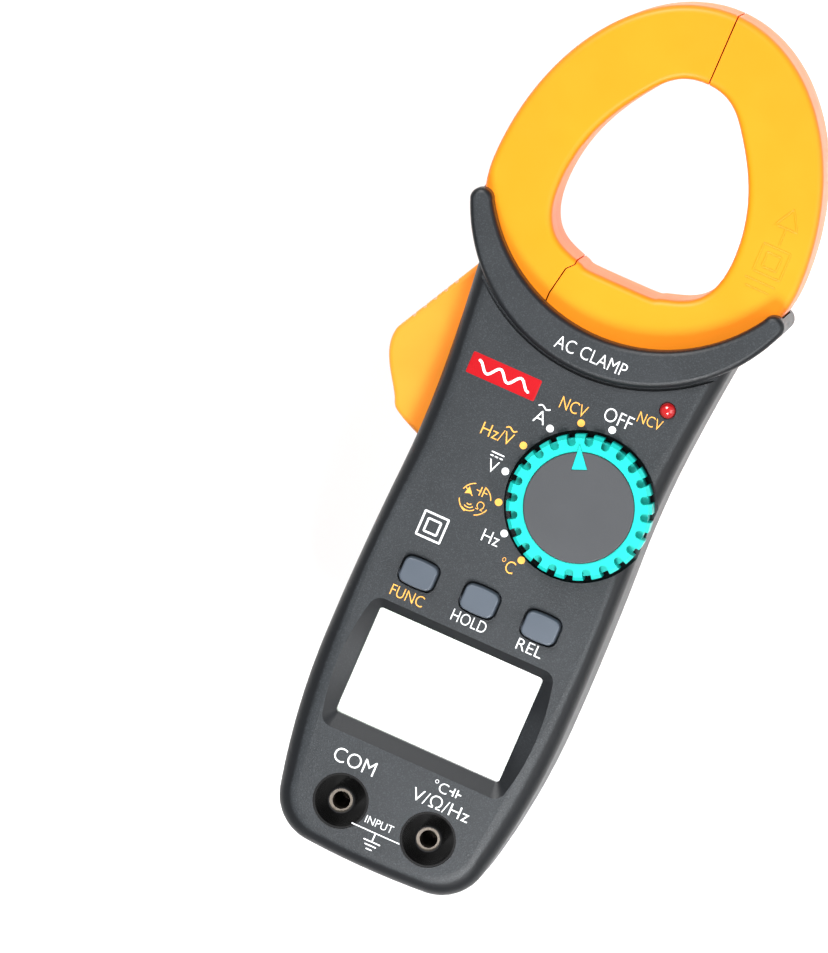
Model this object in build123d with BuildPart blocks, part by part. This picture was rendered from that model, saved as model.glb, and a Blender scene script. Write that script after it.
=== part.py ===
from build123d import *
import math
import os

# A hand-held clamp meter lying on its back.  Millimetres.
# +X is to the right of the panel, +Y runs from the jacks to the jaw, +Z comes out of the panel.
# Z = 0 is the flat back.  Lengths along the meter are given from the jack end.

# ---- Driving dimensions ----
END_Y = -104.0            # frame Y of the jack end
FIT = 0.08                # radial clearance of running fits
GAP = 0.3                 # clearance between neighbours that move past each other

# Case
WALL = 2.0
PARTING_Z = 16.5
PANEL_Z = 31.0
COLLAR_Z = 33.0
PANEL_UNDER_Z = PANEL_Z - WALL
FRONT_ROUND = 4.2
BACK_ROUND = 3.4
INNER_ROUND = 2.2
CASE_WIDEST = 28.9
SHOULDER = 135.2          # where the case sides meet the collar
CASE_TOP = SHOULDER + 1.0
SIDE_POINTS = [(14.5, 0.55), (24.6, 9.2), (CASE_WIDEST, 45.0), (28.1, 85.0), (28.4, 112.0),
               (30.6, SHOULDER)]
ROUND_STEPS = 4

# Collar: a crescent that guards the hand
COLLAR_LOW = 121.2
COLLAR_HIGH = 130.0
COLLAR_OUTER_END = (37.6, 147.0)
COLLAR_TIP = (35.8, 150.1)
COLLAR_INNER_END = (32.7, 148.3)
COLLAR_ROUND = 1.3
COLLAR_ARC_CENTRE = 168.4
COLLAR_ARC_RADIUS = 39.0
GROOVE_WIDTH = 0.8
GROOVE_DEPTH = 0.7
LOWER_ARC_CENTRE = 161.6
LOWER_ARC_RADIUS = LOWER_ARC_CENTRE - COLLAR_LOW

# Jaw ring
JAW_BACK_Z = 5.5
JAW_FRONT_Z = 27.5
JAW_MID_Z = PARTING_Z
JAW_WALL = 1.8
JAW_ROUND = 1.7
EGG_CENTRE = 157.0
EGG_HALF_WIDTH = 36.8
EGG_TOP = 50.0
EGG_BOTTOM = 31.0
HOLE_CENTRE = 158.0
HOLE_HALF_WIDTH = 20.9
HOLE_TOP = 32.4
HOLE_BOTTOM = 15.8
HOLE_POINTS = [(0.54, 0.79), (0.837, 0.47), (1.0, 0.0), (0.952, -0.468),
               (0.746, -0.81), (0.455, -0.956)]
JAW_SPLIT = [(0.5, 215.0), (0.5, 152.0), (-10.7, 152.0), (-10.7, 142.3), (-12.2, 140.6),
             (-13.4, 134.3), (-13.4, 108.0)]
SPLIT_GAP = 0.3
CORE_INSET = 4.2
CORE_BACK_Z = 10.5
CORE_FRONT_Z = 22.5
FAR = 60.0

# Pivot, hub and trigger
PIVOT = (-20.0, 125.0)
PIN_RADIUS = 2.5
HUB_RADIUS = 8.5
TRIGGER_HUB_RADIUS = 7.4
TRIGGER_BACK_Z = 9.0
TRIGGER_FRONT_Z = 19.8
HUB_PLATE = 3.3
TRIGGER_SLOT_LOW = 87.0

# Tang of the fixed jaw, clamped by the two upper case screws
TANG_BACK_Z = 9.0
TANG_FRONT_Z = 20.0
TANG_SCREWS = [(-4.0, 119.5), (12.0, 119.5)]
TANG_EAR_RADIUS = 4.0
LOWER_SCREWS = [(-21.5, 17.0), (21.5, 17.0)]
SCREW_RADIUS = 1.3
SCREW_PILOT = 9.5
PCB_PILOT = 3.6
DOOR_PILOT = 5.4
DOOR_PILLAR_Z = 8.7
PIVOT_BOSS_Z = 26.9
PIVOT_BOSS_RADIUS = 4.6
PIN_SEAT = 2.6
SCREW_HEAD_RADIUS = 2.6

# Dial
DIAL = (12.0, 94.0)
WELL_RADIUS = 17.0
WELL_FLOOR_Z = 27.2
WELL_UNDER_Z = 25.4
KNOB_RADIUS = 16.2
KNOB_CORE_RADIUS = 15.3
KNOB_BACK_Z = 27.5
NOTCH_FLOOR_Z = 32.3
KNOB_FRONT_Z = 34.4
KNOB_POCKET_Z = 33.0
CAP_RADIUS = 12.3
CAP_FRONT_Z = 34.9
SHAFT_RADIUS = 4.0
NOTCH_COUNT = 24
NOTCH_WIDTH = 1.9
NOTCH_DEPTH = 2.5
POINTER_ANGLE = 22.5      # anticlockwise from straight up
POINTER_TIP = 14.0
POINTER_BASE = 8.5
POINTER_WIDTH = 3.4
DETENT_STEP = 22.5
DETENT_COUNT = 16
ROTOR_RADIUS = 13.5
ROTOR_FRONT_Z = 25.1
ROTOR_BACK_Z = 23.5
BALL_RADIUS = 0.7

# Display
WINDOW_CENTRE = 42.65
WINDOW_SIZE = (39.6, 25.4)
WINDOW_CORNER = 0.8
WINDOW_EDGE_Z = 29.4
RECESS_TOP = 57.5
RECESS_BOTTOM = 26.5
RECESS_CORNER_HALF = 21.6
RECESS_MIDDLE_HALF = 23.8
WINDOW_PAD_Z = 27.9
PCB_BACK_Z = 21.5
PCB_FRONT_Z = 23.1
LCD_BACK_Z = 24.8
LCD_FRONT_Z = 26.6

# Keys
KEY_ROW = 65.8
KEY_COLUMNS = {"func_button": -14.8, "hold_button": 0.0, "rel_button": 14.8}
KEY_SIZE = (8.2, 5.6)
KEY_BULGE = 0.45
KEY_CORNER = 1.7
KEY_FRONT_Z = 33.0

# Jacks
JACKS = {"com_socket": -10.6, "input_socket": 10.6}
JACK_ROW = 12.2
JACK_WELL_RADIUS = 5.8
JACK_POST_RADIUS = 3.15
SOCKET_OUTER_RADIUS = 2.65
JACK_BORE_RADIUS = 2.0
JACK_BASE_Z = 9.0
JACK_FLOOR_Z = 11.0
SOCKET_FRONT_Z = 29.6
POST_FRONT_Z = 30.2

# Indicator lamp
LAMP = (21.2, 121.3)
LAMP_RADIUS = 1.8

# Battery bay and door on the back
CELL_RADIUS = 5.2
CELL_LENGTH = 44.0
CELL_X = 5.6
CELL_Z = 8.8
BAY_HALF_WIDTH = 12.8
BAY_LOW = 23.0
BAY_HIGH = 72.5
BAY_WALL = 1.4
BAY_CEILING_Z = 14.2
DOOR_HALF_WIDTH = 14.7
DOOR_LOW = 13.6
DOOR_HINGE = 78.0
DOOR_HINGE_Z = 1.4
DOOR_BACK_Z = 0.3
DOOR_FRONT_Z = 2.5
DOOR_SCREW = (0.0, 18.2)
DOOR_TAB_X = 8.0


def along(distance):
    """Frame Y of a point at this distance from the jack end."""
    return END_Y + distance


def at(point):
    """Frame X, Y of a point given as X and distance from the jack end."""
    return (point[0], along(point[1]))


def level(height):
    """The horizontal plane at this height above the back."""
    return Plane.XY.offset(height)


def save(piece, label):
    """Name a finished piece and write its STEP file."""
    piece.part.label = label
    export_step(piece.part, f"parts/{label}.step")


# ---- Outlines ----

def case_plan(inset, top):
    """Plan of the case: slightly bowed end, full corners, a long waist, flaring to the collar."""
    narrow = 1 - inset / CASE_WIDEST
    short = 1 - inset / SHOULDER

    def inner(point):
        return at((point[0] * narrow, inset + point[1] * short))

    with BuildSketch() as plan:
        with BuildLine():
            start = inner((0, 0))
            heading = (1, 0)
            for point in SIDE_POINTS:
                arc = TangentArc(start, inner(point), tangent=heading)
                start, heading = arc @ 1, arc % 1
            Polyline(start, (start.X, along(top)), (0, along(top)))
            mirror(about=Plane.YZ)
        make_face()
    return plan.sketch


def collar_plan(inset):
    """Crescent between two arcs, with rounded horns."""
    outer = (COLLAR_OUTER_END[0] - 0.9 * inset, COLLAR_OUTER_END[1] + 0.3 * inset)
    inner = (COLLAR_INNER_END[0] + 0.9 * inset, COLLAR_INNER_END[1] - 0.3 * inset)
    tip = (COLLAR_TIP[0], COLLAR_TIP[1] - inset)
    with BuildSketch() as plan:
        with BuildLine():
            ThreePointArc(at((-outer[0], outer[1])), at((0, COLLAR_LOW + inset)), at(outer))
            ThreePointArc(at((-inner[0], inner[1])), at((0, COLLAR_HIGH - inset)), at(inner))
            for side in (-1, 1):
                ThreePointArc(at((side * outer[0], outer[1])), at((side * tip[0], tip[1])),
                              at((side * inner[0], inner[1])))
        make_face()
    return plan.sketch


def egg_plan(inset):
    """Outer outline of the jaw ring: two half ellipses that share their widest line."""
    centre = (0, along(EGG_CENTRE))
    with BuildSketch() as plan:
        with BuildLine():
            EllipticalCenterArc(centre, EGG_HALF_WIDTH - inset, EGG_TOP - inset,
                                start_angle=0, arc_size=180)
            EllipticalCenterArc(centre, EGG_HALF_WIDTH - inset, EGG_BOTTOM - inset,
                                start_angle=180, arc_size=180)
        make_face()
    return plan.sketch


def hole_plan(growth):
    """Window of the jaw ring: narrow and round at the top, broad and flat at the bottom."""
    half = HOLE_HALF_WIDTH + growth
    top = HOLE_TOP + growth
    bottom = HOLE_BOTTOM + growth
    side = [(x * half, HOLE_CENTRE + y * (top if y > 0 else bottom)) for x, y in HOLE_POINTS]
    ends = [(0, HOLE_CENTRE + top), (0, HOLE_CENTRE - bottom)]
    points = [at(point) for point in [ends[0]] + side + [ends[1]]]
    with BuildSketch() as plan:
        with BuildLine():
            Spline(points, tangents=[(1, 0), (-1, 0)])
            mirror(about=Plane.YZ)
        make_face()
    return plan.sketch


def split_plan(side, retreat):
    """Everything on one side of the line where the jaws meet: side 1 is the fixed jaw's."""
    line = [at((x + side * retreat, y)) for x, y in JAW_SPLIT]
    corners = [(side * FAR, line[-1][1]), (side * FAR, line[0][1])]
    with BuildSketch() as plan:
        with BuildLine():
            Polyline(line + corners, close=True)
        make_face()
    return plan.sketch


def barrel_plan(centre, width, height, bulge, corner):
    """Rectangle with straight ends, bowed long sides and rounded corners."""
    x, y = centre
    half_width = width / 2
    half_height = height / 2
    with BuildSketch() as plan:
        with BuildLine():
            for side in (1, -1):
                Line((x + side * half_width, y - side * half_height),
                     (x + side * half_width, y + side * half_height))
                ThreePointArc((x + side * half_width, y + side * half_height),
                              (x, y + side * (half_height + bulge)),
                              (x - side * half_width, y + side * half_height))
        make_face()
        fillet(plan.vertices(), corner)
    return plan.sketch


# ---- Shared solids ----

def rounded_stack(plan_at, base_z, face_z, radius):
    """A plan carried from base_z to face_z, stepping in by a quarter round at the face."""
    outward = 1 if face_z > base_z else -1
    with BuildPart() as block:
        with BuildSketch(level(base_z)):
            add(plan_at(0))
        extrude(amount=face_z - outward * radius - base_z)
        for step in range(ROUND_STEPS + 1):
            turn = math.radians(90 * step / ROUND_STEPS)
            rise = radius * (1 - math.sin(turn))
            with BuildSketch(level(face_z - outward * rise)):
                add(plan_at(radius * (1 - math.cos(turn))))
        loft()
    return block.part


def rounded_block(inset, top, face_z, radius):
    """The case plan from the parting plane to face_z, with a rounded edge there."""
    return rounded_stack(lambda step: case_plan(inset + step, top), PARTING_Z, face_z, radius)


def case_half(face_z, inner_z, collar_z, ledge_z, slot_z, radius):
    """One hollow half of the case with its collar, open at the top and at the trigger side."""
    outer = rounded_block(0, CASE_TOP, face_z, radius)
    hollow = rounded_block(WALL, SHOULDER + 5, inner_z, INNER_ROUND)
    collar = rounded_stack(collar_plan, ledge_z, collar_z, COLLAR_ROUND)
    swing_width = 28.0
    with BuildPart() as half:
        add(outer)
        add(hollow, mode=Mode.SUBTRACT)
        with BuildSketch(level(PARTING_Z)):
            with Locations((0, along(COLLAR_ARC_CENTRE))):
                Circle(COLLAR_ARC_RADIUS)
        extrude(amount=face_z - PARTING_Z, mode=Mode.SUBTRACT)
        with BuildSketch(level(PARTING_Z)):
            add(egg_plan(-0.4))
            with Locations((-20 - swing_width / 2, along(128))):
                Rectangle(swing_width, 24)
        extrude(amount=ledge_z - PARTING_Z, mode=Mode.SUBTRACT)
        with BuildSketch(level(PARTING_Z)):
            with Locations((-20 - swing_width / 2, along((TRIGGER_SLOT_LOW + 118) / 2))):
                Rectangle(swing_width, 118 - TRIGGER_SLOT_LOW)
        extrude(amount=slot_z - PARTING_Z, mode=Mode.SUBTRACT)
        add(collar)
        with BuildSketch(level(PARTING_Z)):
            add(collar_plan(0))
            add(egg_plan(-0.4), mode=Mode.SUBTRACT)
            with Locations((31, along(140))):
                Rectangle(16, 30, mode=Mode.INTERSECT)
        extrude(amount=ledge_z - PARTING_Z)
    return half.part


def jaw_ring_half(face_z):
    """The full ring from the middle plane to one face, outer and inner edges rounded."""
    outer = rounded_stack(egg_plan, JAW_MID_Z, face_z, JAW_ROUND)
    window = rounded_stack(hole_plan, JAW_MID_Z, face_z, JAW_ROUND)
    with BuildPart() as ring:
        add(outer)
        add(window, mode=Mode.SUBTRACT)
    return ring.part


def jaw_shell(side, face_z):
    """Hollow half shell of one jaw, with the slot that its core stands in."""
    ring = jaw_ring_half(face_z)
    outward = 1 if face_z > JAW_MID_Z else -1
    core_depth = (CORE_FRONT_Z - CORE_BACK_Z) / 2
    with BuildPart() as shell:
        add(ring)
        with BuildSketch(level(JAW_MID_Z)):
            add(split_plan(side, SPLIT_GAP / 2))
        extrude(amount=face_z - JAW_MID_Z, mode=Mode.INTERSECT)
        with BuildSketch(level(JAW_MID_Z)):
            add(egg_plan(JAW_WALL))
            add(hole_plan(JAW_WALL), mode=Mode.SUBTRACT)
            add(split_plan(side, SPLIT_GAP / 2 + JAW_WALL), mode=Mode.INTERSECT)
        extrude(amount=face_z - JAW_MID_Z - outward * JAW_WALL, mode=Mode.SUBTRACT)
        with BuildSketch(level(JAW_MID_Z)):
            add(egg_plan(CORE_INSET))
            add(hole_plan(CORE_INSET), mode=Mode.SUBTRACT)
        extrude(amount=outward * core_depth, mode=Mode.SUBTRACT)
    return shell.part


def jaw_core(side):
    """C-shaped stack of laminations whose ends show at the jaw's faces."""
    with BuildPart() as core:
        with BuildSketch(level(CORE_BACK_Z)):
            add(egg_plan(CORE_INSET))
            add(hole_plan(CORE_INSET), mode=Mode.SUBTRACT)
            add(split_plan(side, SPLIT_GAP / 2), mode=Mode.INTERSECT)
        extrude(amount=CORE_FRONT_Z - CORE_BACK_Z)
    return core.part


def ring_band_plan(inset, low, high):
    """The right side of the ring between two heights, in from both outlines."""
    with BuildSketch() as plan:
        add(egg_plan(inset))
        add(hole_plan(inset), mode=Mode.SUBTRACT)
        with Locations((30, along((low + high) / 2))):
            Rectangle(40, high - low, mode=Mode.INTERSECT)
    return plan.sketch


def coil(radius, wire_radius, pitch, height, centre, direction):
    """Wound wire: a round section carried along a helix."""
    with BuildPart() as spring:
        with BuildLine():
            path = Helix(pitch, height, radius, center=centre, direction=direction)
        with BuildSketch(Plane(origin=path @ 0, z_dir=path % 0)):
            Circle(wire_radius)
        sweep(path=path, is_frenet=True)
    return spring.part


# ---- Front case ----

BOSS_INSET = 1.4          # bosses end inside the side walls, short of their outer face
front_half = case_half(PANEL_Z, PANEL_UNDER_Z, COLLAR_Z, JAW_FRONT_Z + GAP, TRIGGER_FRONT_Z + 0.5,
                       FRONT_ROUND)

# Bosses and pads inside the front case
with BuildPart() as front_bosses:
    with BuildSketch(level(WELL_UNDER_Z)):
        with Locations(at(DIAL)):
            Circle(WELL_RADIUS + WALL)
    extrude(amount=PANEL_UNDER_Z + 0.4 - WELL_UNDER_Z)
    with BuildSketch(level(ROTOR_BACK_Z)):
        with Locations(at(DIAL)):
            Circle(ROTOR_RADIUS + 2.0)
            Circle(ROTOR_RADIUS + 0.3, mode=Mode.SUBTRACT)
        with Locations(at(DIAL)):
            with PolarLocations(ROTOR_RADIUS + 0.3, DETENT_COUNT, start_angle=DETENT_STEP / 2):
                Circle(0.6, mode=Mode.SUBTRACT)
    extrude(amount=WELL_UNDER_Z - ROTOR_BACK_Z)
    with BuildSketch(level(WINDOW_PAD_Z)):
        with Locations((0, along(WINDOW_CENTRE))):
            Rectangle(45.6, 33.0)
    extrude(amount=PANEL_UNDER_Z + 0.4 - WINDOW_PAD_Z)
    with BuildSketch(level(ROTOR_BACK_Z)):
        add(case_plan(BOSS_INSET, CASE_TOP))
    extrude(amount=PANEL_Z - ROTOR_BACK_Z, mode=Mode.INTERSECT)
    with BuildSketch(level(PARTING_Z)):
        with Locations(*[at(point) for point in LOWER_SCREWS]):
            Circle(3.0)
    extrude(amount=PANEL_UNDER_Z + 0.4 - PARTING_Z)
    with BuildSketch(level(TANG_FRONT_Z)):
        with Locations(*[at(point) for point in TANG_SCREWS]):
            Circle(3.2)
    extrude(amount=PANEL_UNDER_Z + 0.4 - TANG_FRONT_Z)
    with BuildSketch(level(PIVOT_BOSS_Z)):
        with Locations(at(PIVOT)):
            Circle(PIVOT_BOSS_RADIUS)
    extrude(amount=PANEL_UNDER_Z + 0.4 - PIVOT_BOSS_Z)

PCB_SCREWS = [(-22.6, 61.6), (22.6, 61.6), (-8.5, 106.0)]
with BuildPart() as front_case:
    add(front_half)
    add(front_bosses.part)
    with BuildSketch(level(PCB_FRONT_Z)):
        with Locations(*[at(point) for point in PCB_SCREWS]):
            Circle(2.4)
    extrude(amount=PANEL_UNDER_Z + 0.4 - PCB_FRONT_Z)
    # Dial well, its shaft hole
    with BuildSketch(level(WELL_FLOOR_Z)):
        with Locations(at(DIAL)):
            Circle(WELL_RADIUS)
    extrude(amount=COLLAR_Z - WELL_FLOOR_Z, mode=Mode.SUBTRACT)
    with BuildSketch(level(WELL_UNDER_Z)):
        with Locations(at(DIAL)):
            Circle(SHAFT_RADIUS + FIT)
    extrude(amount=WELL_FLOOR_Z - WELL_UNDER_Z, mode=Mode.SUBTRACT)
    # Sloped frame round the display, then the window itself
    with BuildSketch(level(PANEL_Z)):
        with BuildLine():
            top = along(RECESS_TOP)
            bottom = along(RECESS_BOTTOM)
            for side in (-1, 1):
                corner_x = side * RECESS_CORNER_HALF
                ThreePointArc((corner_x, bottom), (side * RECESS_MIDDLE_HALF, along(WINDOW_CENTRE)),
                              (corner_x, top))
            Line((-RECESS_CORNER_HALF, top), (RECESS_CORNER_HALF, top))
            Line((-RECESS_CORNER_HALF, bottom), (RECESS_CORNER_HALF, bottom))
        frame_face = make_face()
        fillet(frame_face.vertices(), 2.8)
    with BuildSketch(level(WINDOW_EDGE_Z)):
        with Locations((0, along(WINDOW_CENTRE))):
            RectangleRounded(*WINDOW_SIZE, WINDOW_CORNER)
    loft(ruled=True, mode=Mode.SUBTRACT)
    with BuildSketch(level(WINDOW_PAD_Z)):
        with Locations((0, along(WINDOW_CENTRE))):
            RectangleRounded(*WINDOW_SIZE, WINDOW_CORNER)
    extrude(amount=PANEL_Z - WINDOW_PAD_Z, mode=Mode.SUBTRACT)
    # Key holes, jack holes, lamp hole
    for column in KEY_COLUMNS.values():
        with BuildSketch(level(PANEL_UNDER_Z - 2)):
            add(barrel_plan((column, along(KEY_ROW)), KEY_SIZE[0] + 0.8, KEY_SIZE[1] + 0.8,
                            KEY_BULGE, KEY_CORNER + 0.4))
        extrude(amount=WALL + 2, mode=Mode.SUBTRACT)
    with BuildSketch(level(PANEL_UNDER_Z - 2)):
        with Locations(*[(x, along(JACK_ROW)) for x in JACKS.values()]):
            Circle(JACK_WELL_RADIUS + 0.5)
        with Locations(at(LAMP)):
            Circle(LAMP_RADIUS + 0.1)
    extrude(amount=WALL + 2, mode=Mode.SUBTRACT)
    # Pilot holes
    with BuildSketch(level(PARTING_Z)):
        with Locations(*[at(point) for point in LOWER_SCREWS + TANG_SCREWS]):
            Circle(SCREW_RADIUS)
    extrude(amount=SCREW_PILOT, mode=Mode.SUBTRACT)
    with BuildSketch(level(PCB_FRONT_Z)):
        with Locations(*[at(point) for point in PCB_SCREWS]):
            Circle(0.9)
    extrude(amount=PCB_PILOT, mode=Mode.SUBTRACT)
    with BuildSketch(level(PIVOT_BOSS_Z)):
        with Locations(at(PIVOT)):
            Circle(PIN_RADIUS)
    extrude(amount=PIN_SEAT, mode=Mode.SUBTRACT)
    # Coring under the collar, and the groove below it
    with BuildSketch(level(JAW_FRONT_Z + GAP)):
        add(collar_plan(2.1))
        with Locations((0, along(130))):
            Rectangle(70, 30, mode=Mode.INTERSECT)
    extrude(amount=3.0, mode=Mode.SUBTRACT)
    with BuildSketch(level(PANEL_Z - GROOVE_DEPTH)):
        with Locations((0, along(LOWER_ARC_CENTRE))):
            Circle(LOWER_ARC_RADIUS + GROOVE_WIDTH)
            Circle(LOWER_ARC_RADIUS, mode=Mode.SUBTRACT)
        with Locations((0, along(115))):
            Rectangle(70, 50, mode=Mode.INTERSECT)
    extrude(amount=GROOVE_DEPTH, mode=Mode.SUBTRACT)
save(front_case, "front_case")

# ---- Rear case ----

rear_half = case_half(0.0, WALL, 0.0, JAW_BACK_Z - GAP, TRIGGER_BACK_Z - 0.5, BACK_ROUND)
BAY_LENGTH = BAY_HIGH - BAY_LOW
BAY_MIDDLE = (BAY_HIGH + BAY_LOW) / 2
DOOR_END = DOOR_HINGE + 1.1 + GAP
DOOR_RECESS_LOW = DOOR_LOW - GAP

with BuildPart() as rear_case:
    add(rear_half)
    # Rim that carries the door, and the bay above it
    with BuildSketch(level(WALL - 0.4)):
        with Locations((0, along((DOOR_END + DOOR_RECESS_LOW) / 2))):
            Rectangle(2 * DOOR_HALF_WIDTH + 4, DOOR_END - DOOR_RECESS_LOW + 5)
    extrude(amount=2.4)
    with BuildSketch(level(3.5)):
        with Locations((0, along(BAY_MIDDLE))):
            Rectangle(2 * (BAY_HALF_WIDTH + BAY_WALL), BAY_LENGTH + 2 * BAY_WALL)
    extrude(amount=BAY_CEILING_Z + BAY_WALL - 3.5)
    with BuildSketch(level(2.0)):
        with Locations((0, along(BAY_MIDDLE))):
            Rectangle(2 * BAY_HALF_WIDTH, BAY_LENGTH)
    extrude(amount=BAY_CEILING_Z - 2.0, mode=Mode.SUBTRACT)
    with BuildSketch(level(0)):
        with Locations((0, along((DOOR_END + DOOR_RECESS_LOW) / 2))):
            Rectangle(2 * (DOOR_HALF_WIDTH + GAP), DOOR_END - DOOR_RECESS_LOW)
    extrude(amount=DOOR_FRONT_Z + 0.1, mode=Mode.SUBTRACT)
    for side in (-1, 1):
        with BuildSketch(level(DOOR_FRONT_Z)):
            with Locations((side * DOOR_TAB_X, along(78.6))):
                Rectangle(6.4, 8.8)
        extrude(amount=2.4, mode=Mode.SUBTRACT)
    # Screw pillars
    with BuildSketch(level(DOOR_FRONT_Z + 0.1)):
        with Locations(at(DOOR_SCREW)):
            Circle(3.6)
    extrude(amount=DOOR_PILLAR_Z - DOOR_FRONT_Z)
    with BuildSketch(level(DOOR_FRONT_Z)):
        with Locations(at(DOOR_SCREW)):
            Circle(SCREW_RADIUS + 0.9)
    extrude(amount=DOOR_PILOT, mode=Mode.SUBTRACT)
    with BuildSketch(level(WALL - 0.4)):
        with Locations(*[at(point) for point in LOWER_SCREWS]):
            Circle(3.6)
    extrude(amount=PARTING_Z - WALL + 0.4)
    with BuildSketch(level(WALL - 0.4)):
        with Locations(*[at(point) for point in TANG_SCREWS]):
            Circle(4.0)
        with Locations(at(PIVOT)):
            Circle(4.6)
    extrude(amount=JAW_BACK_Z - 0.2 - WALL + 0.4)
    with BuildSketch(level(5.0)):
        with Locations(*[at(point) for point in TANG_SCREWS]):
            Circle(4.0)
    extrude(amount=TANG_BACK_Z - 5.0)
    with BuildSketch(level(0)):
        with Locations(*[at(point) for point in LOWER_SCREWS + TANG_SCREWS]):
            Circle(SCREW_RADIUS + 0.2)
    extrude(amount=PARTING_Z, mode=Mode.SUBTRACT)
    with BuildSketch(level(0)):
        with Locations(*[at(point) for point in LOWER_SCREWS + TANG_SCREWS]):
            Circle(SCREW_HEAD_RADIUS + 0.2)
    extrude(amount=3.0, mode=Mode.SUBTRACT)
    with BuildSketch(level(WALL)):
        with Locations(at(PIVOT)):
            Circle(PIN_RADIUS)
    extrude(amount=4.0, mode=Mode.SUBTRACT)
save(rear_case, "rear_case")

# ---- Screws of the case ----

with BuildPart() as case_screws:
    for point in LOWER_SCREWS + TANG_SCREWS:
        with BuildSketch(level(1.0)):
            with Locations(at(point)):
                Circle(SCREW_HEAD_RADIUS)
        extrude(amount=2.0)
        with BuildSketch(level(3.0)):
            with Locations(at(point)):
                Circle(SCREW_RADIUS)
        extrude(amount=22.0)
        with BuildSketch(level(1.0)):
            with Locations(at(point)):
                Rectangle(3.2, 0.7)
                Rectangle(0.7, 3.2)
        extrude(amount=1.1, mode=Mode.SUBTRACT)
save(case_screws, "case_screws")

# ---- Jaws ----

pin_hole = PIN_RADIUS + FIT


def fixed_jaw_shell(face_z, tang_z):
    """Shell of the fixed jaw with its half of the tang."""
    shell = jaw_shell(1, face_z)
    ear_xs = [point[0] for point in TANG_SCREWS]
    tang_low = TANG_SCREWS[0][1]
    with BuildPart() as piece:
        add(shell)
        with BuildSketch(level(JAW_MID_Z)):
            with Locations(*[at(point) for point in TANG_SCREWS]):
                Circle(TANG_EAR_RADIUS)
            with Locations((sum(ear_xs) / 2, along(tang_low + 4.5))):
                Rectangle(ear_xs[1] - ear_xs[0] + 2 * TANG_EAR_RADIUS, 9.0)
            with Locations(at(PIVOT)):
                Circle(HUB_RADIUS + 0.6, mode=Mode.SUBTRACT)
        extrude(amount=tang_z - JAW_MID_Z)
        with BuildSketch(level(JAW_MID_Z)):
            with Locations(*[at(point) for point in TANG_SCREWS]):
                Circle(SCREW_RADIUS + 0.2)
        extrude(amount=tang_z - JAW_MID_Z, mode=Mode.SUBTRACT)
        with BuildSketch(level(JAW_BACK_Z)):
            with Locations(at(PIVOT)):
                Circle(HUB_RADIUS + 0.5)
        extrude(amount=JAW_FRONT_Z - JAW_BACK_Z, mode=Mode.SUBTRACT)
    return piece


fixed_jaw_front_shell = fixed_jaw_shell(JAW_FRONT_Z, TANG_FRONT_Z)
fixed_jaw_rear_shell = fixed_jaw_shell(JAW_BACK_Z, TANG_BACK_Z)

# Way out for the leads of the winding, through the lower wall of the front shell
LEAD_X = 17.6
LEAD_Z = 24.4
with BuildPart() as fixed_jaw_front_drilled:
    add(fixed_jaw_front_shell.part)
    with BuildSketch(level(LEAD_Z - 0.9)):
        with Locations((LEAD_X + 0.6, along(131.5))):
            Rectangle(6.4, 10.0)
    extrude(amount=1.8, mode=Mode.SUBTRACT)
save(fixed_jaw_front_drilled, "fixed_jaw_front_shell")
save(fixed_jaw_rear_shell, "fixed_jaw_rear_shell")

with BuildPart() as fixed_jaw_core:
    add(jaw_core(1))
save(fixed_jaw_core, "fixed_jaw_core")

WINDING_LOW = 152.0
WINDING_HIGH = 178.0
BOBBIN_WALL = 0.7
FLANGE = 1.0
with BuildPart() as fixed_jaw_bobbin:
    with BuildSketch(level(CORE_BACK_Z - BOBBIN_WALL)):
        add(ring_band_plan(CORE_INSET - BOBBIN_WALL, WINDING_LOW - FLANGE, WINDING_HIGH + FLANGE))
    extrude(amount=CORE_FRONT_Z - CORE_BACK_Z + 2 * BOBBIN_WALL)
    for low in (WINDING_LOW - FLANGE, WINDING_HIGH):
        with BuildSketch(level(7.6)):
            add(ring_band_plan(2.1, low, low + FLANGE))
        extrude(amount=25.4 - 7.6)
    with BuildSketch(level(CORE_BACK_Z)):
        add(ring_band_plan(CORE_INSET, WINDING_LOW - 2, WINDING_HIGH + 2))
    extrude(amount=CORE_FRONT_Z - CORE_BACK_Z, mode=Mode.SUBTRACT)
save(fixed_jaw_bobbin, "fixed_jaw_bobbin")

with BuildPart() as fixed_jaw_winding:
    with BuildSketch(level(8.2)):
        add(ring_band_plan(2.4, WINDING_LOW, WINDING_HIGH))
    extrude(amount=24.8 - 8.2)
    with BuildSketch(level(CORE_BACK_Z - BOBBIN_WALL)):
        add(ring_band_plan(CORE_INSET - BOBBIN_WALL, WINDING_LOW - 2, WINDING_HIGH + 2))
    extrude(amount=CORE_FRONT_Z - CORE_BACK_Z + 2 * BOBBIN_WALL, mode=Mode.SUBTRACT)
save(fixed_jaw_winding, "fixed_jaw_winding")


def moving_jaw_shell(face_z, plate_z):
    """Shell of the moving jaw with its hub plate, drilled for the pin and the two trigger screws."""
    shell = jaw_shell(-1, face_z)
    outward = 1 if face_z > JAW_MID_Z else -1
    with BuildPart() as piece:
        add(shell)
        with BuildSketch(level(plate_z)):
            with Locations(at(PIVOT)):
                Circle(HUB_RADIUS)
        extrude(amount=outward * HUB_PLATE)
        with BuildSketch(level(plate_z)):
            with Locations(at(PIVOT)):
                Circle(pin_hole)
        extrude(amount=outward * HUB_PLATE, mode=Mode.SUBTRACT)
    return piece.part


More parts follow.
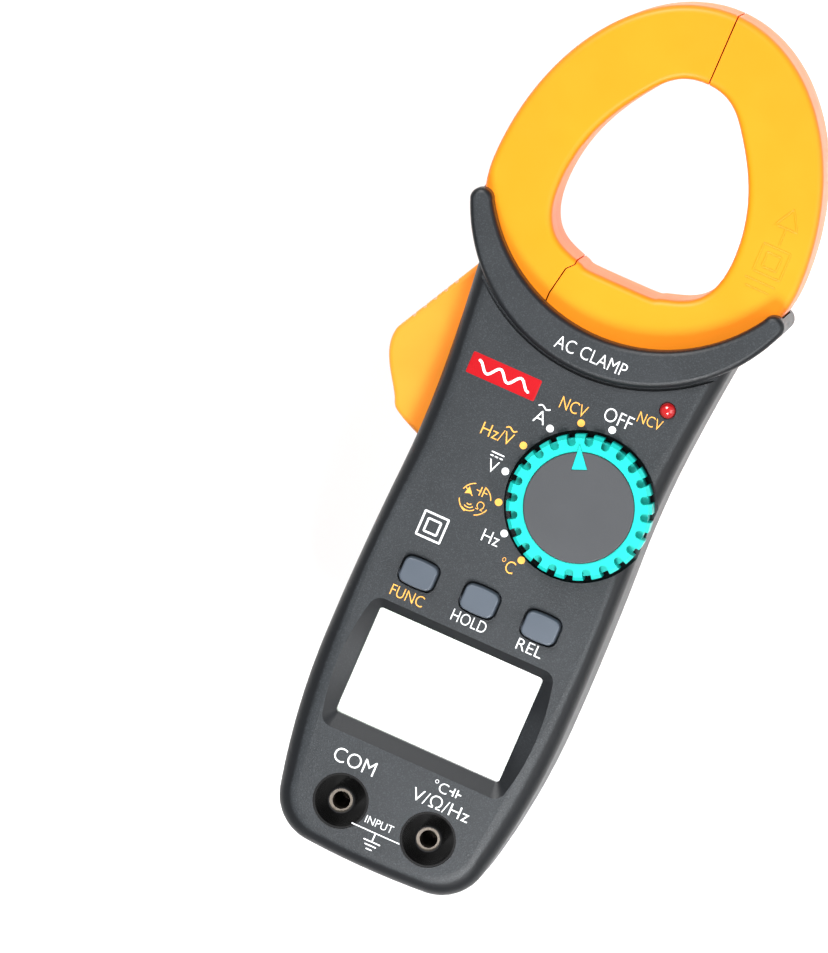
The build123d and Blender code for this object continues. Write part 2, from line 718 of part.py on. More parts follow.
TRIGGER_SCREWS = [(PIVOT[0] - 5.2, PIVOT[1] - 0.6), (PIVOT[0] + 4.6, PIVOT[1] - 3.0)]
with BuildPart() as moving_jaw_front_shell:
    add(moving_jaw_shell(JAW_FRONT_Z, TRIGGER_FRONT_Z + 0.1))
    with BuildSketch(level(TRIGGER_FRONT_Z)):
        with Locations(*[at(point) for point in TRIGGER_SCREWS]):
            Circle(0.9)
    extrude(amount=HUB_PLATE - 0.8, mode=Mode.SUBTRACT)
save(moving_jaw_front_shell, "moving_jaw_front_shell")

with BuildPart() as moving_jaw_rear_shell:
    add(moving_jaw_shell(JAW_BACK_Z, TRIGGER_BACK_Z - 0.1))
    with BuildSketch(level(JAW_BACK_Z - 0.1)):
        with Locations(*[at(point) for point in TRIGGER_SCREWS]):
            Circle(1.0)
    extrude(amount=HUB_PLATE + 0.5, mode=Mode.SUBTRACT)
    with BuildSketch(level(JAW_BACK_Z - 0.1)):
        with Locations(*[at(point) for point in TRIGGER_SCREWS]):
            Circle(1.8)
    extrude(amount=1.6, mode=Mode.SUBTRACT)
save(moving_jaw_rear_shell, "moving_jaw_rear_shell")

with BuildPart() as moving_jaw_core:
    add(jaw_core(-1))
save(moving_jaw_core, "moving_jaw_core")

# Trigger: a hollowed lever with a ribbed thumb face, its hub held between the hub plates
TRIGGER_TOP = (-31.0, 133.0)
TRIGGER_APEX = (-42.2, 110.6)
TRIGGER_FOOT = (-28.0, 92.5)
GRIP_COUNT = 5
with BuildPart() as trigger:
    with BuildSketch(level(TRIGGER_BACK_Z)):
        with BuildLine():
            Polyline(at((-14.6, 120.0)), at((-20.0, 131.0)), at((-27.0, 132.4)), at(TRIGGER_TOP))
            Line(at(TRIGGER_TOP), at((-41.6, 113.4)))
            Spline([at((-41.6, 113.4)), at(TRIGGER_APEX), at((-40.6, 105.0)), at((-36.4, 98.3)),
                    at(TRIGGER_FOOT)], tangents=[(-0.48, -0.88), (0.92, -0.38)])
            Spline([at(TRIGGER_FOOT), at((-22.5, 94.5)), at((-18.0, 104.0)), at((-14.6, 120.0))],
                   tangents=[(0.95, -0.1), (0.2, 1.0)])
        make_face()
        with Locations(at(PIVOT)):
            Circle(TRIGGER_HUB_RADIUS)
        add(egg_plan(-0.1), mode=Mode.SUBTRACT)
    extrude(amount=TRIGGER_FRONT_Z - TRIGGER_BACK_Z)
    thumb_edges = trigger.edges().filter_by(Plane.XY).filter_by_position(Axis.X, -43, -33)
    fillet(thumb_edges, 1.2)
    for step in range(GRIP_COUNT):
        share = 0.28 + 0.135 * step
        rib_x = TRIGGER_TOP[0] + share * (-41.6 - TRIGGER_TOP[0])
        rib_y = TRIGGER_TOP[1] + share * (113.4 - TRIGGER_TOP[1])
        with BuildSketch(level(TRIGGER_BACK_Z)):
            with Locations(at((rib_x, rib_y))):
                Circle(0.55)
        extrude(amount=TRIGGER_FRONT_Z - TRIGGER_BACK_Z, mode=Mode.SUBTRACT)
    with BuildSketch(level(TRIGGER_BACK_Z)):
        with Locations(at(PIVOT)):
            Circle(pin_hole)
        with Locations(*[at(point) for point in TRIGGER_SCREWS]):
            Circle(0.9)
    extrude(amount=TRIGGER_FRONT_Z - TRIGGER_BACK_Z, mode=Mode.SUBTRACT)
save(trigger, "trigger")

with BuildPart() as trigger_screws:
    for point in TRIGGER_SCREWS:
        with BuildSketch(level(JAW_BACK_Z + 0.2)):
            with Locations(at(point)):
                Circle(1.7)
        extrude(amount=1.3)
        with BuildSketch(level(JAW_BACK_Z + 1.5)):
            with Locations(at(point)):
                Circle(0.9)
        extrude(amount=TRIGGER_FRONT_Z + 1.8 - JAW_BACK_Z - 1.5)
save(trigger_screws, "trigger_screws")

with BuildPart() as pivot_pin:
    with BuildSketch(level(WALL)):
        with Locations(at(PIVOT)):
            Circle(PIN_RADIUS)
    extrude(amount=PANEL_UNDER_Z + 0.3 - WALL)
    chamfer(pivot_pin.edges().filter_by(GeomType.CIRCLE), 0.3)
save(pivot_pin, "pivot_pin")

# Torsion spring round the pin, above the front hub plate; both legs point to the jack end
SPRING_WIRE = 0.4
SPRING_RADIUS = 3.6
SPRING_PITCH = 0.95
SPRING_HEIGHT = 2.5 * SPRING_PITCH
SPRING_Z = TRIGGER_FRONT_Z + 0.1 + HUB_PLATE + 0.75
SPRING_LEGS = [(SPRING_RADIUS, SPRING_Z, 12.0), (-SPRING_RADIUS, SPRING_Z + SPRING_HEIGHT, 9.0)]
spring_coil = coil(SPRING_RADIUS, SPRING_WIRE, SPRING_PITCH, SPRING_HEIGHT,
                   (PIVOT[0], along(PIVOT[1]), SPRING_Z), (0, 0, 1))
with BuildPart() as return_spring:
    add(spring_coil)
    for leg_x, leg_z, leg_length in SPRING_LEGS:
        with BuildSketch(Plane(origin=(PIVOT[0] + leg_x, along(PIVOT[1]) + 0.1, leg_z),
                               z_dir=(0, -1, 0))):
            Circle(SPRING_WIRE)
        extrude(amount=leg_length)
save(return_spring, "return_spring")

# ---- Electronics ----

LEAD_RADIUS = 0.55
with BuildPart() as pcb:
    with BuildSketch(level(PCB_BACK_Z)):
        add(case_plan(WALL + 1.2, CASE_TOP))
        with Locations((0, along(65))):
            Rectangle(60, 88, mode=Mode.INTERSECT)
        with Locations((20.6, along(114.5))):
            Rectangle(9.0, 20.0)
        with Locations(*[at(point) for point in PCB_SCREWS]):
            Circle(1.2, mode=Mode.SUBTRACT)
        with Locations(*[at(point) for point in LOWER_SCREWS]):
            Circle(4.2, mode=Mode.SUBTRACT)
    extrude(amount=PCB_FRONT_Z - PCB_BACK_Z)
save(pcb, "pcb")

with BuildPart() as pcb_screws:
    for point in PCB_SCREWS:
        with BuildSketch(level(PCB_BACK_Z - 1.2)):
            with Locations(at(point)):
                Circle(1.9)
        extrude(amount=1.2)
        with BuildSketch(level(PCB_BACK_Z)):
            with Locations(at(point)):
                Circle(0.9)
        extrude(amount=5.0)
save(pcb_screws, "pcb_screws")

LCD_HALF_WIDTH = 21.5
LCD_LOW = 27.6
LCD_HIGH = 57.7
LCD_MIDDLE = (LCD_LOW + LCD_HIGH) / 2
STRIP_ROWS = (LCD_LOW + 1.3, LCD_HIGH - 1.3)
with BuildPart() as lcd_holder:
    with BuildSketch(level(PCB_FRONT_Z)):
        with Locations((0, along(LCD_MIDDLE))):
            Rectangle(2 * LCD_HALF_WIDTH + 1.6, LCD_HIGH - LCD_LOW + 1.6)
            Rectangle(38.0, LCD_HIGH - LCD_LOW - 6.4, mode=Mode.SUBTRACT)
        with Locations(*[(0, along(row)) for row in STRIP_ROWS]):
            Rectangle(38.4, 1.6, mode=Mode.SUBTRACT)
    extrude(amount=LCD_BACK_Z - PCB_FRONT_Z)
    with BuildSketch(level(LCD_BACK_Z)):
        with Locations((0, along(LCD_MIDDLE))):
            Rectangle(2 * LCD_HALF_WIDTH + 1.6, LCD_HIGH - LCD_LOW + 1.6)
            Rectangle(2 * LCD_HALF_WIDTH + 0.2, LCD_HIGH - LCD_LOW + 0.2, mode=Mode.SUBTRACT)
    extrude(amount=1.4)
save(lcd_holder, "lcd_holder")

with BuildPart() as lcd_contact_strips:
    with BuildSketch(level(PCB_FRONT_Z)):
        with Locations(*[(0, along(row)) for row in STRIP_ROWS]):
            Rectangle(38.0, 1.4)
    extrude(amount=LCD_BACK_Z - PCB_FRONT_Z)
save(lcd_contact_strips, "lcd_contact_strips")

with BuildPart() as backlight:
    with BuildSketch(level(PCB_FRONT_Z + 0.2)):
        with Locations((0, along(LCD_MIDDLE))):
            Rectangle(37.6, LCD_HIGH - LCD_LOW - 6.8)
    extrude(amount=LCD_BACK_Z - PCB_FRONT_Z - 0.3)
save(backlight, "backlight")

with BuildPart() as lcd_glass:
    with BuildSketch(level(LCD_BACK_Z)):
        with Locations((0, along(LCD_MIDDLE))):
            Rectangle(2 * LCD_HALF_WIDTH, LCD_HIGH - LCD_LOW)
    extrude(amount=0.9)
    with BuildSketch(level(LCD_BACK_Z + 0.9)):
        with Locations((0, along(LCD_MIDDLE))):
            Rectangle(2 * LCD_HALF_WIDTH, LCD_HIGH - LCD_LOW - 3.0)
    extrude(amount=LCD_FRONT_Z - LCD_BACK_Z - 0.9)
save(lcd_glass, "lcd_glass")

with BuildPart() as display_window:
    with BuildSketch(level(LCD_FRONT_Z + 0.2)):
        with Locations((0, along(WINDOW_CENTRE))):
            RectangleRounded(WINDOW_SIZE[0] + 3.0, WINDOW_SIZE[1] + 3.0, 1.0)
    extrude(amount=WINDOW_PAD_Z - LCD_FRONT_Z - 0.2)
    with BuildSketch(level(WINDOW_PAD_Z)):
        with Locations((0, along(WINDOW_CENTRE))):
            RectangleRounded(WINDOW_SIZE[0] - 0.2, WINDOW_SIZE[1] - 0.2, WINDOW_CORNER - 0.1)
    extrude(amount=WINDOW_EDGE_Z - 0.2 - WINDOW_PAD_Z)
save(display_window, "display_window")

with BuildPart() as ncv_lamp:
    with BuildSketch(level(PCB_FRONT_Z + 2.0)):
        with Locations(at(LAMP)):
            Circle(LAMP_RADIUS)
    extrude(amount=PANEL_Z - 0.3 - PCB_FRONT_Z - 2.0)
    with BuildSketch(level(PCB_FRONT_Z + 2.0)):
        with Locations(at(LAMP)):
            Circle(LAMP_RADIUS + 0.5)
    extrude(amount=1.0)
    with BuildSketch(Plane(origin=(LAMP[0], along(LAMP[1]), PANEL_Z - 0.3), x_dir=(1, 0, 0),
                           z_dir=(0, -1, 0))):
        with BuildLine():
            Polyline((0, 0), (LAMP_RADIUS, 0))
            ThreePointArc((LAMP_RADIUS, 0), (LAMP_RADIUS * 0.7071, LAMP_RADIUS * 0.7071),
                          (0, LAMP_RADIUS))
            Line((0, LAMP_RADIUS), (0, 0))
        make_face()
    revolve(axis=Axis((LAMP[0], along(LAMP[1]), 0), (0, 0, 1)))
    for leg_x in (-0.65, 0.65):
        with BuildSketch(level(PCB_FRONT_Z)):
            with Locations((LAMP[0] + leg_x, along(LAMP[1]))):
                Rectangle(0.5, 0.5)
        extrude(amount=2.0)
save(ncv_lamp, "ncv_lamp")

with BuildPart() as buzzer:
    with BuildSketch(level(PCB_BACK_Z - 4.2)):
        with Locations(at((14.0, 88.0))):
            Circle(6.0)
    extrude(amount=4.2)
    with BuildSketch(level(PCB_BACK_Z - 4.2)):
        with Locations(at((14.0, 88.0))):
            Circle(1.0)
    extrude(amount=1.0, mode=Mode.SUBTRACT)
    fillet(buzzer.edges().filter_by(GeomType.CIRCLE).sort_by(SortBy.RADIUS)[-1], 0.4)
save(buzzer, "buzzer")

with BuildPart() as meter_chip:
    with BuildSketch(level(PCB_BACK_Z - 1.5)):
        with Locations(at((0, 62.0))):
            Rectangle(12.0, 12.0)
    extrude(amount=1.5)
    fillet(meter_chip.edges().filter_by(Axis.Z), 1.0)
    chamfer(meter_chip.faces().sort_by(Axis.Z)[0].edges(), 0.4)
save(meter_chip, "meter_chip")

with BuildPart() as input_resistors:
    for index in range(4):
        with BuildSketch(Plane(origin=(-12.0 + 5.0 * index, along(26.0), PCB_BACK_Z - 1.7),
                               z_dir=(0, 1, 0))):
            Circle(1.6)
        extrude(amount=8.0)
        with BuildSketch(Plane(origin=(-12.0 + 5.0 * index, along(24.6), PCB_BACK_Z - 1.7),
                               z_dir=(0, 1, 0))):
            Circle(0.35)
        extrude(amount=10.8)
save(input_resistors, "input_resistors")

with BuildPart() as input_thermistor:
    with BuildSketch(Plane(origin=(19.6, along(28.0), PCB_BACK_Z - 4.2), z_dir=(0, 1, 0))):
        Circle(4.0)
    extrude(amount=3.0)
    fillet(input_thermistor.edges(), 0.8)
save(input_thermistor, "input_thermistor")

with BuildPart() as quartz_crystal:
    with BuildSketch(level(PCB_BACK_Z - 3.4)):
        with Locations(at((-15.0, 80.0))):
            SlotOverall(10.4, 4.2)
    extrude(amount=3.4)
    fillet(quartz_crystal.faces().sort_by(Axis.Z)[0].edges(), 0.5)
save(quartz_crystal, "quartz_crystal")

with BuildPart() as trimmers:
    for x, y in ((1.0, 100.0), (9.0, 104.0)):
        with BuildSketch(level(PCB_BACK_Z - 3.6)):
            with Locations(at((x, y))):
                Rectangle(6.0, 6.0)
        extrude(amount=3.6)
        with BuildSketch(level(PCB_BACK_Z - 3.6)):
            with Locations(at((x, y))):
                Circle(1.6)
                Rectangle(2.4, 0.5, mode=Mode.SUBTRACT)
        extrude(amount=0.8, mode=Mode.SUBTRACT)
save(trimmers, "trimmers")

# ---- Jacks ----

BLOCK_SIZE = (35.0, 15.0)
BLOCK_MIDDLE = 12.4
TAG_RADIUS = 1.1
TAG_LENGTH = 3.0
with BuildPart() as terminal_block:
    with BuildSketch(level(JACK_BASE_Z)):
        with Locations((0, along(BLOCK_MIDDLE))):
            RectangleRounded(*BLOCK_SIZE, 3.0)
    extrude(amount=JACK_FLOOR_Z - JACK_BASE_Z)
    for x in JACKS.values():
        spot = (x, along(JACK_ROW))
        for base_z, front_z, outer, inner in (
                (JACK_FLOOR_Z, PANEL_UNDER_Z - 0.1, JACK_WELL_RADIUS + 0.9, JACK_WELL_RADIUS),
                (PANEL_UNDER_Z - 0.1, PANEL_Z - 0.2, JACK_WELL_RADIUS + 0.45, JACK_WELL_RADIUS),
                (JACK_FLOOR_Z, POST_FRONT_Z, JACK_POST_RADIUS, SOCKET_OUTER_RADIUS)):
            with BuildSketch(level(base_z)):
                with Locations(spot):
                    Circle(outer)
                    Circle(inner, mode=Mode.SUBTRACT)
            extrude(amount=front_z - base_z)
    post_rims = terminal_block.edges().filter_by_position(Axis.Z, POST_FRONT_Z, POST_FRONT_Z)
    chamfer(post_rims.filter_by(lambda rim: abs(rim.radius - JACK_POST_RADIUS) < 0.01), 0.25)
    with BuildSketch(level(JACK_BASE_Z)):
        with Locations(*[(x, along(JACK_ROW)) for x in JACKS.values()]):
            Circle(SOCKET_OUTER_RADIUS)
    extrude(amount=JACK_FLOOR_Z - JACK_BASE_Z, mode=Mode.SUBTRACT)
save(terminal_block, "terminal_block")


def jack_socket(x):
    """Turned brass socket: a blind tube with a solder tag at its closed end."""
    spot = (x, along(JACK_ROW))
    with BuildPart() as socket:
        with BuildSketch(level(JACK_BASE_Z)):
            with Locations(spot):
                Circle(SOCKET_OUTER_RADIUS)
        extrude(amount=SOCKET_FRONT_Z - JACK_BASE_Z)
        with BuildSketch(level(JACK_FLOOR_Z)):
            with Locations(spot):
                Circle(JACK_BORE_RADIUS)
        extrude(amount=SOCKET_FRONT_Z - JACK_FLOOR_Z, mode=Mode.SUBTRACT)
        with BuildSketch(level(JACK_BASE_Z - TAG_LENGTH)):
            with Locations(spot):
                Circle(TAG_RADIUS)
        extrude(amount=TAG_LENGTH)
    return socket


for label, x in JACKS.items():
    save(jack_socket(x), label)

# Wires from the solder tags to the board, bent clear of the terminal block
TAG_Z = JACK_BASE_Z - 1.5
BLOCK_END = BLOCK_MIDDLE + BLOCK_SIZE[1] / 2
JACK_LEAD_X = 18.2
with BuildPart() as jack_leads:
    for side in (-1, 1):
        tag = (side * JACKS["input_socket"], along(JACK_ROW + TAG_RADIUS + LEAD_RADIUS), TAG_Z)
        stops = [tag, (side * JACKS["input_socket"], along(BLOCK_END + LEAD_RADIUS + 0.3), TAG_Z),
                 (side * JACK_LEAD_X, along(BLOCK_END + LEAD_RADIUS + 0.3), 12.4),
                 (side * JACK_LEAD_X, along(BLOCK_END + LEAD_RADIUS + 1.5), PCB_BACK_Z - 0.2)]
        with BuildLine() as route:
            FilletPolyline(*stops, radius=2.0)
        with BuildSketch(Plane(origin=route.line @ 0, z_dir=route.line % 0)):
            Circle(LEAD_RADIUS)
        sweep(path=route.line)
save(jack_leads, "jack_leads")

# Wires from the winding to the board, over the tang
with BuildPart() as coil_leads:
    for step in (-0.85, 0.85):
        stops = [(LEAD_X + 6.4 + step, along(150.6), LEAD_Z), (LEAD_X + 4.2 + step, along(140.0), LEAD_Z),
                 (LEAD_X + step, along(132.0), LEAD_Z), (LEAD_X + step, along(122.6), LEAD_Z),
                 (LEAD_X + step, along(118.6), PCB_FRONT_Z)]
        with BuildLine() as route:
            FilletPolyline(*stops, radius=[8.0, 8.0, 2.0])
        with BuildSketch(Plane(origin=route.line @ 0, z_dir=route.line % 0)):
            Circle(LEAD_RADIUS)
        sweep(path=route.line)
    add(pcb.part, mode=Mode.SUBTRACT)
save(coil_leads, "coil_leads")

# ---- Keys ----

KEY_FLANGE = 1.2
PLUNGER_Z = 26.5
with BuildPart() as keypad_mat:
    with BuildSketch(level(PCB_FRONT_Z)):
        with Locations((0, along(KEY_ROW))):
            RectangleRounded(39.6, 10.4, 2.0)
    extrude(amount=0.8)
    with BuildSketch(level(PCB_FRONT_Z + 0.8)):
        with Locations(*[(x, along(KEY_ROW)) for x in KEY_COLUMNS.values()]):
            Circle(2.6)
    extrude(amount=1.3, taper=20)
save(keypad_mat, "keypad_mat")


def key(column):
    """A bar-shaped key: drafted cap, flange under the panel and a plunger over its dome."""
    centre = (column, along(KEY_ROW))
    with BuildPart() as piece:
        with BuildSketch(level(PANEL_UNDER_Z - 0.1)):
            add(barrel_plan(centre, *KEY_SIZE, KEY_BULGE, KEY_CORNER))
        extrude(amount=KEY_FRONT_Z - PANEL_UNDER_Z + 0.1, taper=3)
        top_edges = piece.faces().sort_by(Axis.Z)[-1].edges()
        fillet(top_edges, 0.45)
        with BuildSketch(level(PANEL_UNDER_Z - 1.3)):
            add(barrel_plan(centre, KEY_SIZE[0] + 2 * KEY_FLANGE, KEY_SIZE[1] + 2 * KEY_FLANGE,
                            KEY_BULGE, KEY_CORNER + 0.6))
        extrude(amount=1.2)
        with BuildSketch(level(PLUNGER_Z)):
            with Locations(centre):
                Circle(1.5)
        extrude(amount=PANEL_UNDER_Z - 1.3 - PLUNGER_Z)
    return piece


for label, column in KEY_COLUMNS.items():
    save(key(column), label)

# ---- Dial ----


def pointer_plan(clearance):
    """Triangle on the knob that points at the chosen function."""
    half = POINTER_WIDTH / 2 + clearance
    with BuildSketch(Plane(origin=(DIAL[0], along(DIAL[1]), 0), x_dir=(
            math.cos(math.radians(POINTER_ANGLE)), math.sin(math.radians(POINTER_ANGLE)), 0))) as plan:
        with BuildLine():
            Polyline((-half, POINTER_BASE - clearance), (half, POINTER_BASE - clearance),
                     (0, POINTER_TIP + 2 * clearance), close=True)
        make_face()
    return plan.sketch


with BuildPart() as dial_knob:
    with BuildSketch(level(KNOB_BACK_Z)):
        with Locations(at(DIAL)):
            Circle(KNOB_RADIUS)
    extrude(amount=KNOB_FRONT_Z - KNOB_BACK_Z)
    rim = dial_knob.edges().filter_by_position(Axis.Z, KNOB_FRONT_Z, KNOB_FRONT_Z)
    chamfer(rim, 1.0, 0.8)
    with BuildSketch(level(KNOB_BACK_Z)):
        with Locations(at(DIAL)):
            with PolarLocations(KNOB_RADIUS, NOTCH_COUNT, start_angle=90):
                SlotOverall(2 * NOTCH_DEPTH, NOTCH_WIDTH)
    extrude(amount=KNOB_FRONT_Z - KNOB_BACK_Z, mode=Mode.SUBTRACT)
    with BuildSketch(level(KNOB_BACK_Z)):
        with Locations(at(DIAL)):
            Circle(KNOB_CORE_RADIUS)
    extrude(amount=NOTCH_FLOOR_Z - KNOB_BACK_Z)
    with BuildSketch(level(KNOB_POCKET_Z)):
        with Locations(at(DIAL)):
            Circle(CAP_RADIUS + 0.1)
    extrude(amount=CAP_FRONT_Z - KNOB_POCKET_Z, mode=Mode.SUBTRACT)
    with BuildSketch(level(KNOB_POCKET_Z)):
        add(pointer_plan(0))
    extrude(amount=CAP_FRONT_Z - KNOB_POCKET_Z)
    with BuildSketch(level(ROTOR_FRONT_Z)):
        with Locations(at(DIAL)):
            Circle(SHAFT_RADIUS)
    extrude(amount=KNOB_BACK_Z - ROTOR_FRONT_Z)
    with BuildSketch(level(ROTOR_BACK_Z)):
        with Locations(at(DIAL)):
            Rectangle(4.0, 4.0)
    extrude(amount=ROTOR_FRONT_Z - ROTOR_BACK_Z)
save(dial_knob, "dial_knob")

with BuildPart() as dial_cap:
    with BuildSketch(level(KNOB_POCKET_Z)):
        with Locations(at(DIAL)):
            Circle(CAP_RADIUS)
        add(pointer_plan(0.12), mode=Mode.SUBTRACT)
    extrude(amount=CAP_FRONT_Z - KNOB_POCKET_Z)
    cap_rim = dial_cap.edges().filter_by_position(Axis.Z, CAP_FRONT_Z, CAP_FRONT_Z)
    fillet(cap_rim.filter_by(GeomType.CIRCLE), 0.3)
save(dial_cap, "dial_cap")

POCKET_ANGLES = (0.0, 180.0)
POCKET_LENGTH = 4.0
with BuildPart() as dial_rotor:
    with BuildSketch(level(ROTOR_BACK_Z)):
        with Locations(at(DIAL)):
            Circle(ROTOR_RADIUS)
            Rectangle(4.0, 4.0, mode=Mode.SUBTRACT)
    extrude(amount=ROTOR_FRONT_Z - ROTOR_BACK_Z)
    for angle in POCKET_ANGLES:
        outward = (math.cos(math.radians(angle)), math.sin(math.radians(angle)), 0)
        start = ROTOR_RADIUS - POCKET_LENGTH
        with BuildSketch(Plane(origin=(DIAL[0] + start * outward[0], along(DIAL[1]) + start * outward[1],
                                       (ROTOR_BACK_Z + ROTOR_FRONT_Z) / 2), z_dir=outward)):
            Circle(BALL_RADIUS + 0.03)
        extrude(amount=POCKET_LENGTH + 1, mode=Mode.SUBTRACT)
save(dial_rotor, "dial_rotor")

with BuildPart() as detent_balls:
    for angle in POCKET_ANGLES:
        reach = ROTOR_RADIUS - BALL_RADIUS + 0.15
        with Locations((DIAL[0] + reach * math.cos(math.radians(angle)),
                        along(DIAL[1]) + reach * math.sin(math.radians(angle)),
                        (ROTOR_BACK_Z + ROTOR_FRONT_Z) / 2)):
            Sphere(BALL_RADIUS)
save(detent_balls, "detent_balls")

detent_coils = []
for angle in POCKET_ANGLES:
    outward = (math.cos(math.radians(angle)), math.sin(math.radians(angle)), 0)
    start = ROTOR_RADIUS - POCKET_LENGTH + 0.16
    foot = (DIAL[0] + start * outward[0], along(DIAL[1]) + start * outward[1],
            (ROTOR_BACK_Z + ROTOR_FRONT_Z) / 2)
    detent_coils.append(coil(0.55, 0.12, 0.55, 2.2, foot, outward))
with BuildPart() as detent_springs:
    for wound in detent_coils:
        add(wound)
save(detent_springs, "detent_springs")

with BuildPart() as wiper_contacts:
    with BuildSketch(level(PCB_FRONT_Z + 0.1)):
        with Locations(at(DIAL)):
            with PolarLocations(8.0, 3, start_angle=30):
                Rectangle(6.0, 1.6)
    extrude(amount=ROTOR_BACK_Z - PCB_FRONT_Z - 0.1)
save(wiper_contacts, "wiper_contacts")

# ---- Batteries ----

CELL_OFFSET = 3.0
CELL_BODY = CELL_LENGTH - 1.0
with BuildPart() as battery_cells:
    for side in (-1, 1):
        foot = (side * CELL_X, along(BAY_LOW + CELL_OFFSET), CELL_Z)
        with BuildSketch(Plane(origin=foot, z_dir=(0, 1, 0))):
            Circle(CELL_RADIUS)
        extrude(amount=CELL_BODY)
        nub_y = along(BAY_LOW + CELL_OFFSET + CELL_BODY) if side > 0 else along(BAY_LOW + 2.1)
        with BuildSketch(Plane(origin=(side * CELL_X, nub_y, CELL_Z), z_dir=(0, 1, 0))):
            Circle(1.9)
        extrude(amount=0.9)
    cell_rims = battery_cells.edges().filter_by(GeomType.CIRCLE)
    fillet(cell_rims.filter_by(lambda rim: abs(rim.radius - CELL_RADIUS) < 0.01), 0.4)
save(battery_cells, "battery_cells")

PLATE = 0.4
with BuildPart() as battery_contacts:
    with BuildSketch(Plane(origin=(0, along(BAY_HIGH - PLATE), CELL_Z), x_dir=(1, 0, 0),
                           z_dir=(0, 1, 0))):
        Rectangle(20.0, 8.6)
    extrude(amount=PLATE)
    for side in (-1, 1):
        with BuildSketch(Plane(origin=(side * CELL_X, along(BAY_LOW), CELL_Z), x_dir=(1, 0, 0),
                               z_dir=(0, 1, 0))):
            Rectangle(8.8, 8.6)
        extrude(amount=PLATE)
save(battery_contacts, "battery_contacts")

cell_end = along(BAY_LOW + CELL_OFFSET + CELL_BODY)
spring_room = along(BAY_HIGH - PLATE) - cell_end
with BuildPart() as battery_springs:
    add(coil(3.0, 0.3, spring_room / 3.4, spring_room - 0.9,
             (-CELL_X, cell_end + 0.45, CELL_Z), (0, 1, 0)))
    add(coil(3.0, 0.3, 0.75, 1.7, (CELL_X, along(BAY_LOW + PLATE) + 0.4, CELL_Z), (0, 1, 0)))
save(battery_springs, "battery_springs")

with BuildPart() as battery_leads:
    for side in (-1, 1):
        stops = [(side * 7.0, along(BAY_LOW - BAY_WALL - 0.6), 11.0),
                 (side * 7.0, along(BAY_LOW - BAY_WALL - 1.6), 16.0),
                 (side * 7.0, along(BAY_LOW + 1.2), PCB_BACK_Z)]
        with BuildLine() as route:
            FilletPolyline(*stops, radius=2.0)
        with BuildSketch(Plane(origin=route.line @ 0, z_dir=route.line % 0)):
            Circle(LEAD_RADIUS)
        sweep(path=route.line)
    add(pcb.part, mode=Mode.SUBTRACT)
    add(rear_case.part, mode=Mode.SUBTRACT)
save(battery_leads, "battery_leads")

# Battery door: its end is round about the hinge line, so that it swings past the lip
with BuildPart() as battery_door:
    with BuildSketch(level(DOOR_BACK_Z)):
        with Locations((0, along((DOOR_HINGE + DOOR_LOW) / 2))):
            Rectangle(2 * DOOR_HALF_WIDTH, DOOR_HINGE - DOOR_LOW)
    extrude(amount=DOOR_FRONT_Z - DOOR_BACK_Z)
    with BuildSketch(Plane(origin=(-DOOR_HALF_WIDTH, along(DOOR_HINGE), DOOR_HINGE_Z),
                           z_dir=(1, 0, 0))):
        Circle((DOOR_FRONT_Z - DOOR_BACK_Z) / 2)
    extrude(amount=2 * DOOR_HALF_WIDTH)
    for side in (-1, 1):
        with BuildSketch(level(DOOR_FRONT_Z - 0.3)):
            with Locations((side * DOOR_TAB_X, along(76.4))):
                Rectangle(5.0, 2.0)
        extrude(amount=0.8)
        with BuildSketch(level(DOOR_FRONT_Z + 0.4)):
            with Locations((side * DOOR_TAB_X, along(78.4))):
                Rectangle(5.0, 6.0)
        extrude(amount=1.1)
    with BuildSketch(level(DOOR_BACK_Z)):
        with Locations(at(DOOR_SCREW)):
            Circle(SCREW_RADIUS + 0.15)
    extrude(amount=DOOR_FRONT_Z, mode=Mode.SUBTRACT)
    with BuildSketch(level(DOOR_BACK_Z)):
        with Locations(at(DOOR_SCREW)):
            Circle(SCREW_HEAD_RADIUS + 0.2)
    extrude(amount=1.4, mode=Mode.SUBTRACT)
    with BuildSketch(level(DOOR_BACK_Z)):
        with Locations(*[(0, along(66.0 + 2.4 * step)) for step in range(4)]):
            SlotOverall(15.0, 1.0)
    extrude(amount=0.6, mode=Mode.SUBTRACT)
save(battery_door, "battery_door")

with BuildPart() as battery_door_screw:
    with BuildSketch(level(DOOR_BACK_Z + 0.2)):
        with Locations(at(DOOR_SCREW)):
            Circle(SCREW_HEAD_RADIUS)
    extrude(amount=1.2)
    with BuildSketch(level(DOOR_BACK_Z + 1.4)):
        with Locations(at(DOOR_SCREW)):
            Circle(SCREW_RADIUS)
    extrude(amount=5.0)
    with BuildSketch(level(DOOR_BACK_Z + 0.2)):
        with Locations(at(DOOR_SCREW)):
            Rectangle(3.0, 0.6)
            Rectangle(0.6, 3.0)
    extrude(amount=0.8, mode=Mode.SUBTRACT)
save(battery_door_screw, "battery_door_screw")
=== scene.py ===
"""Clamp meter: finishes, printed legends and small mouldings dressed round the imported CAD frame.

Everything is in metres in the frame of the CAD model: +Z out of the panel, +Y from the probe jacks to
the jaw, +X to the right of the panel. Places on the panel are given in millimetres as (x, d), where x is
measured from the centreline and d from the jack end of the case.
"""

from __future__ import annotations

import logging
import math
from dataclasses import dataclass, field
from enum import Enum
from typing import Any

import bpy
import numpy as np
from mathutils import Matrix, Vector

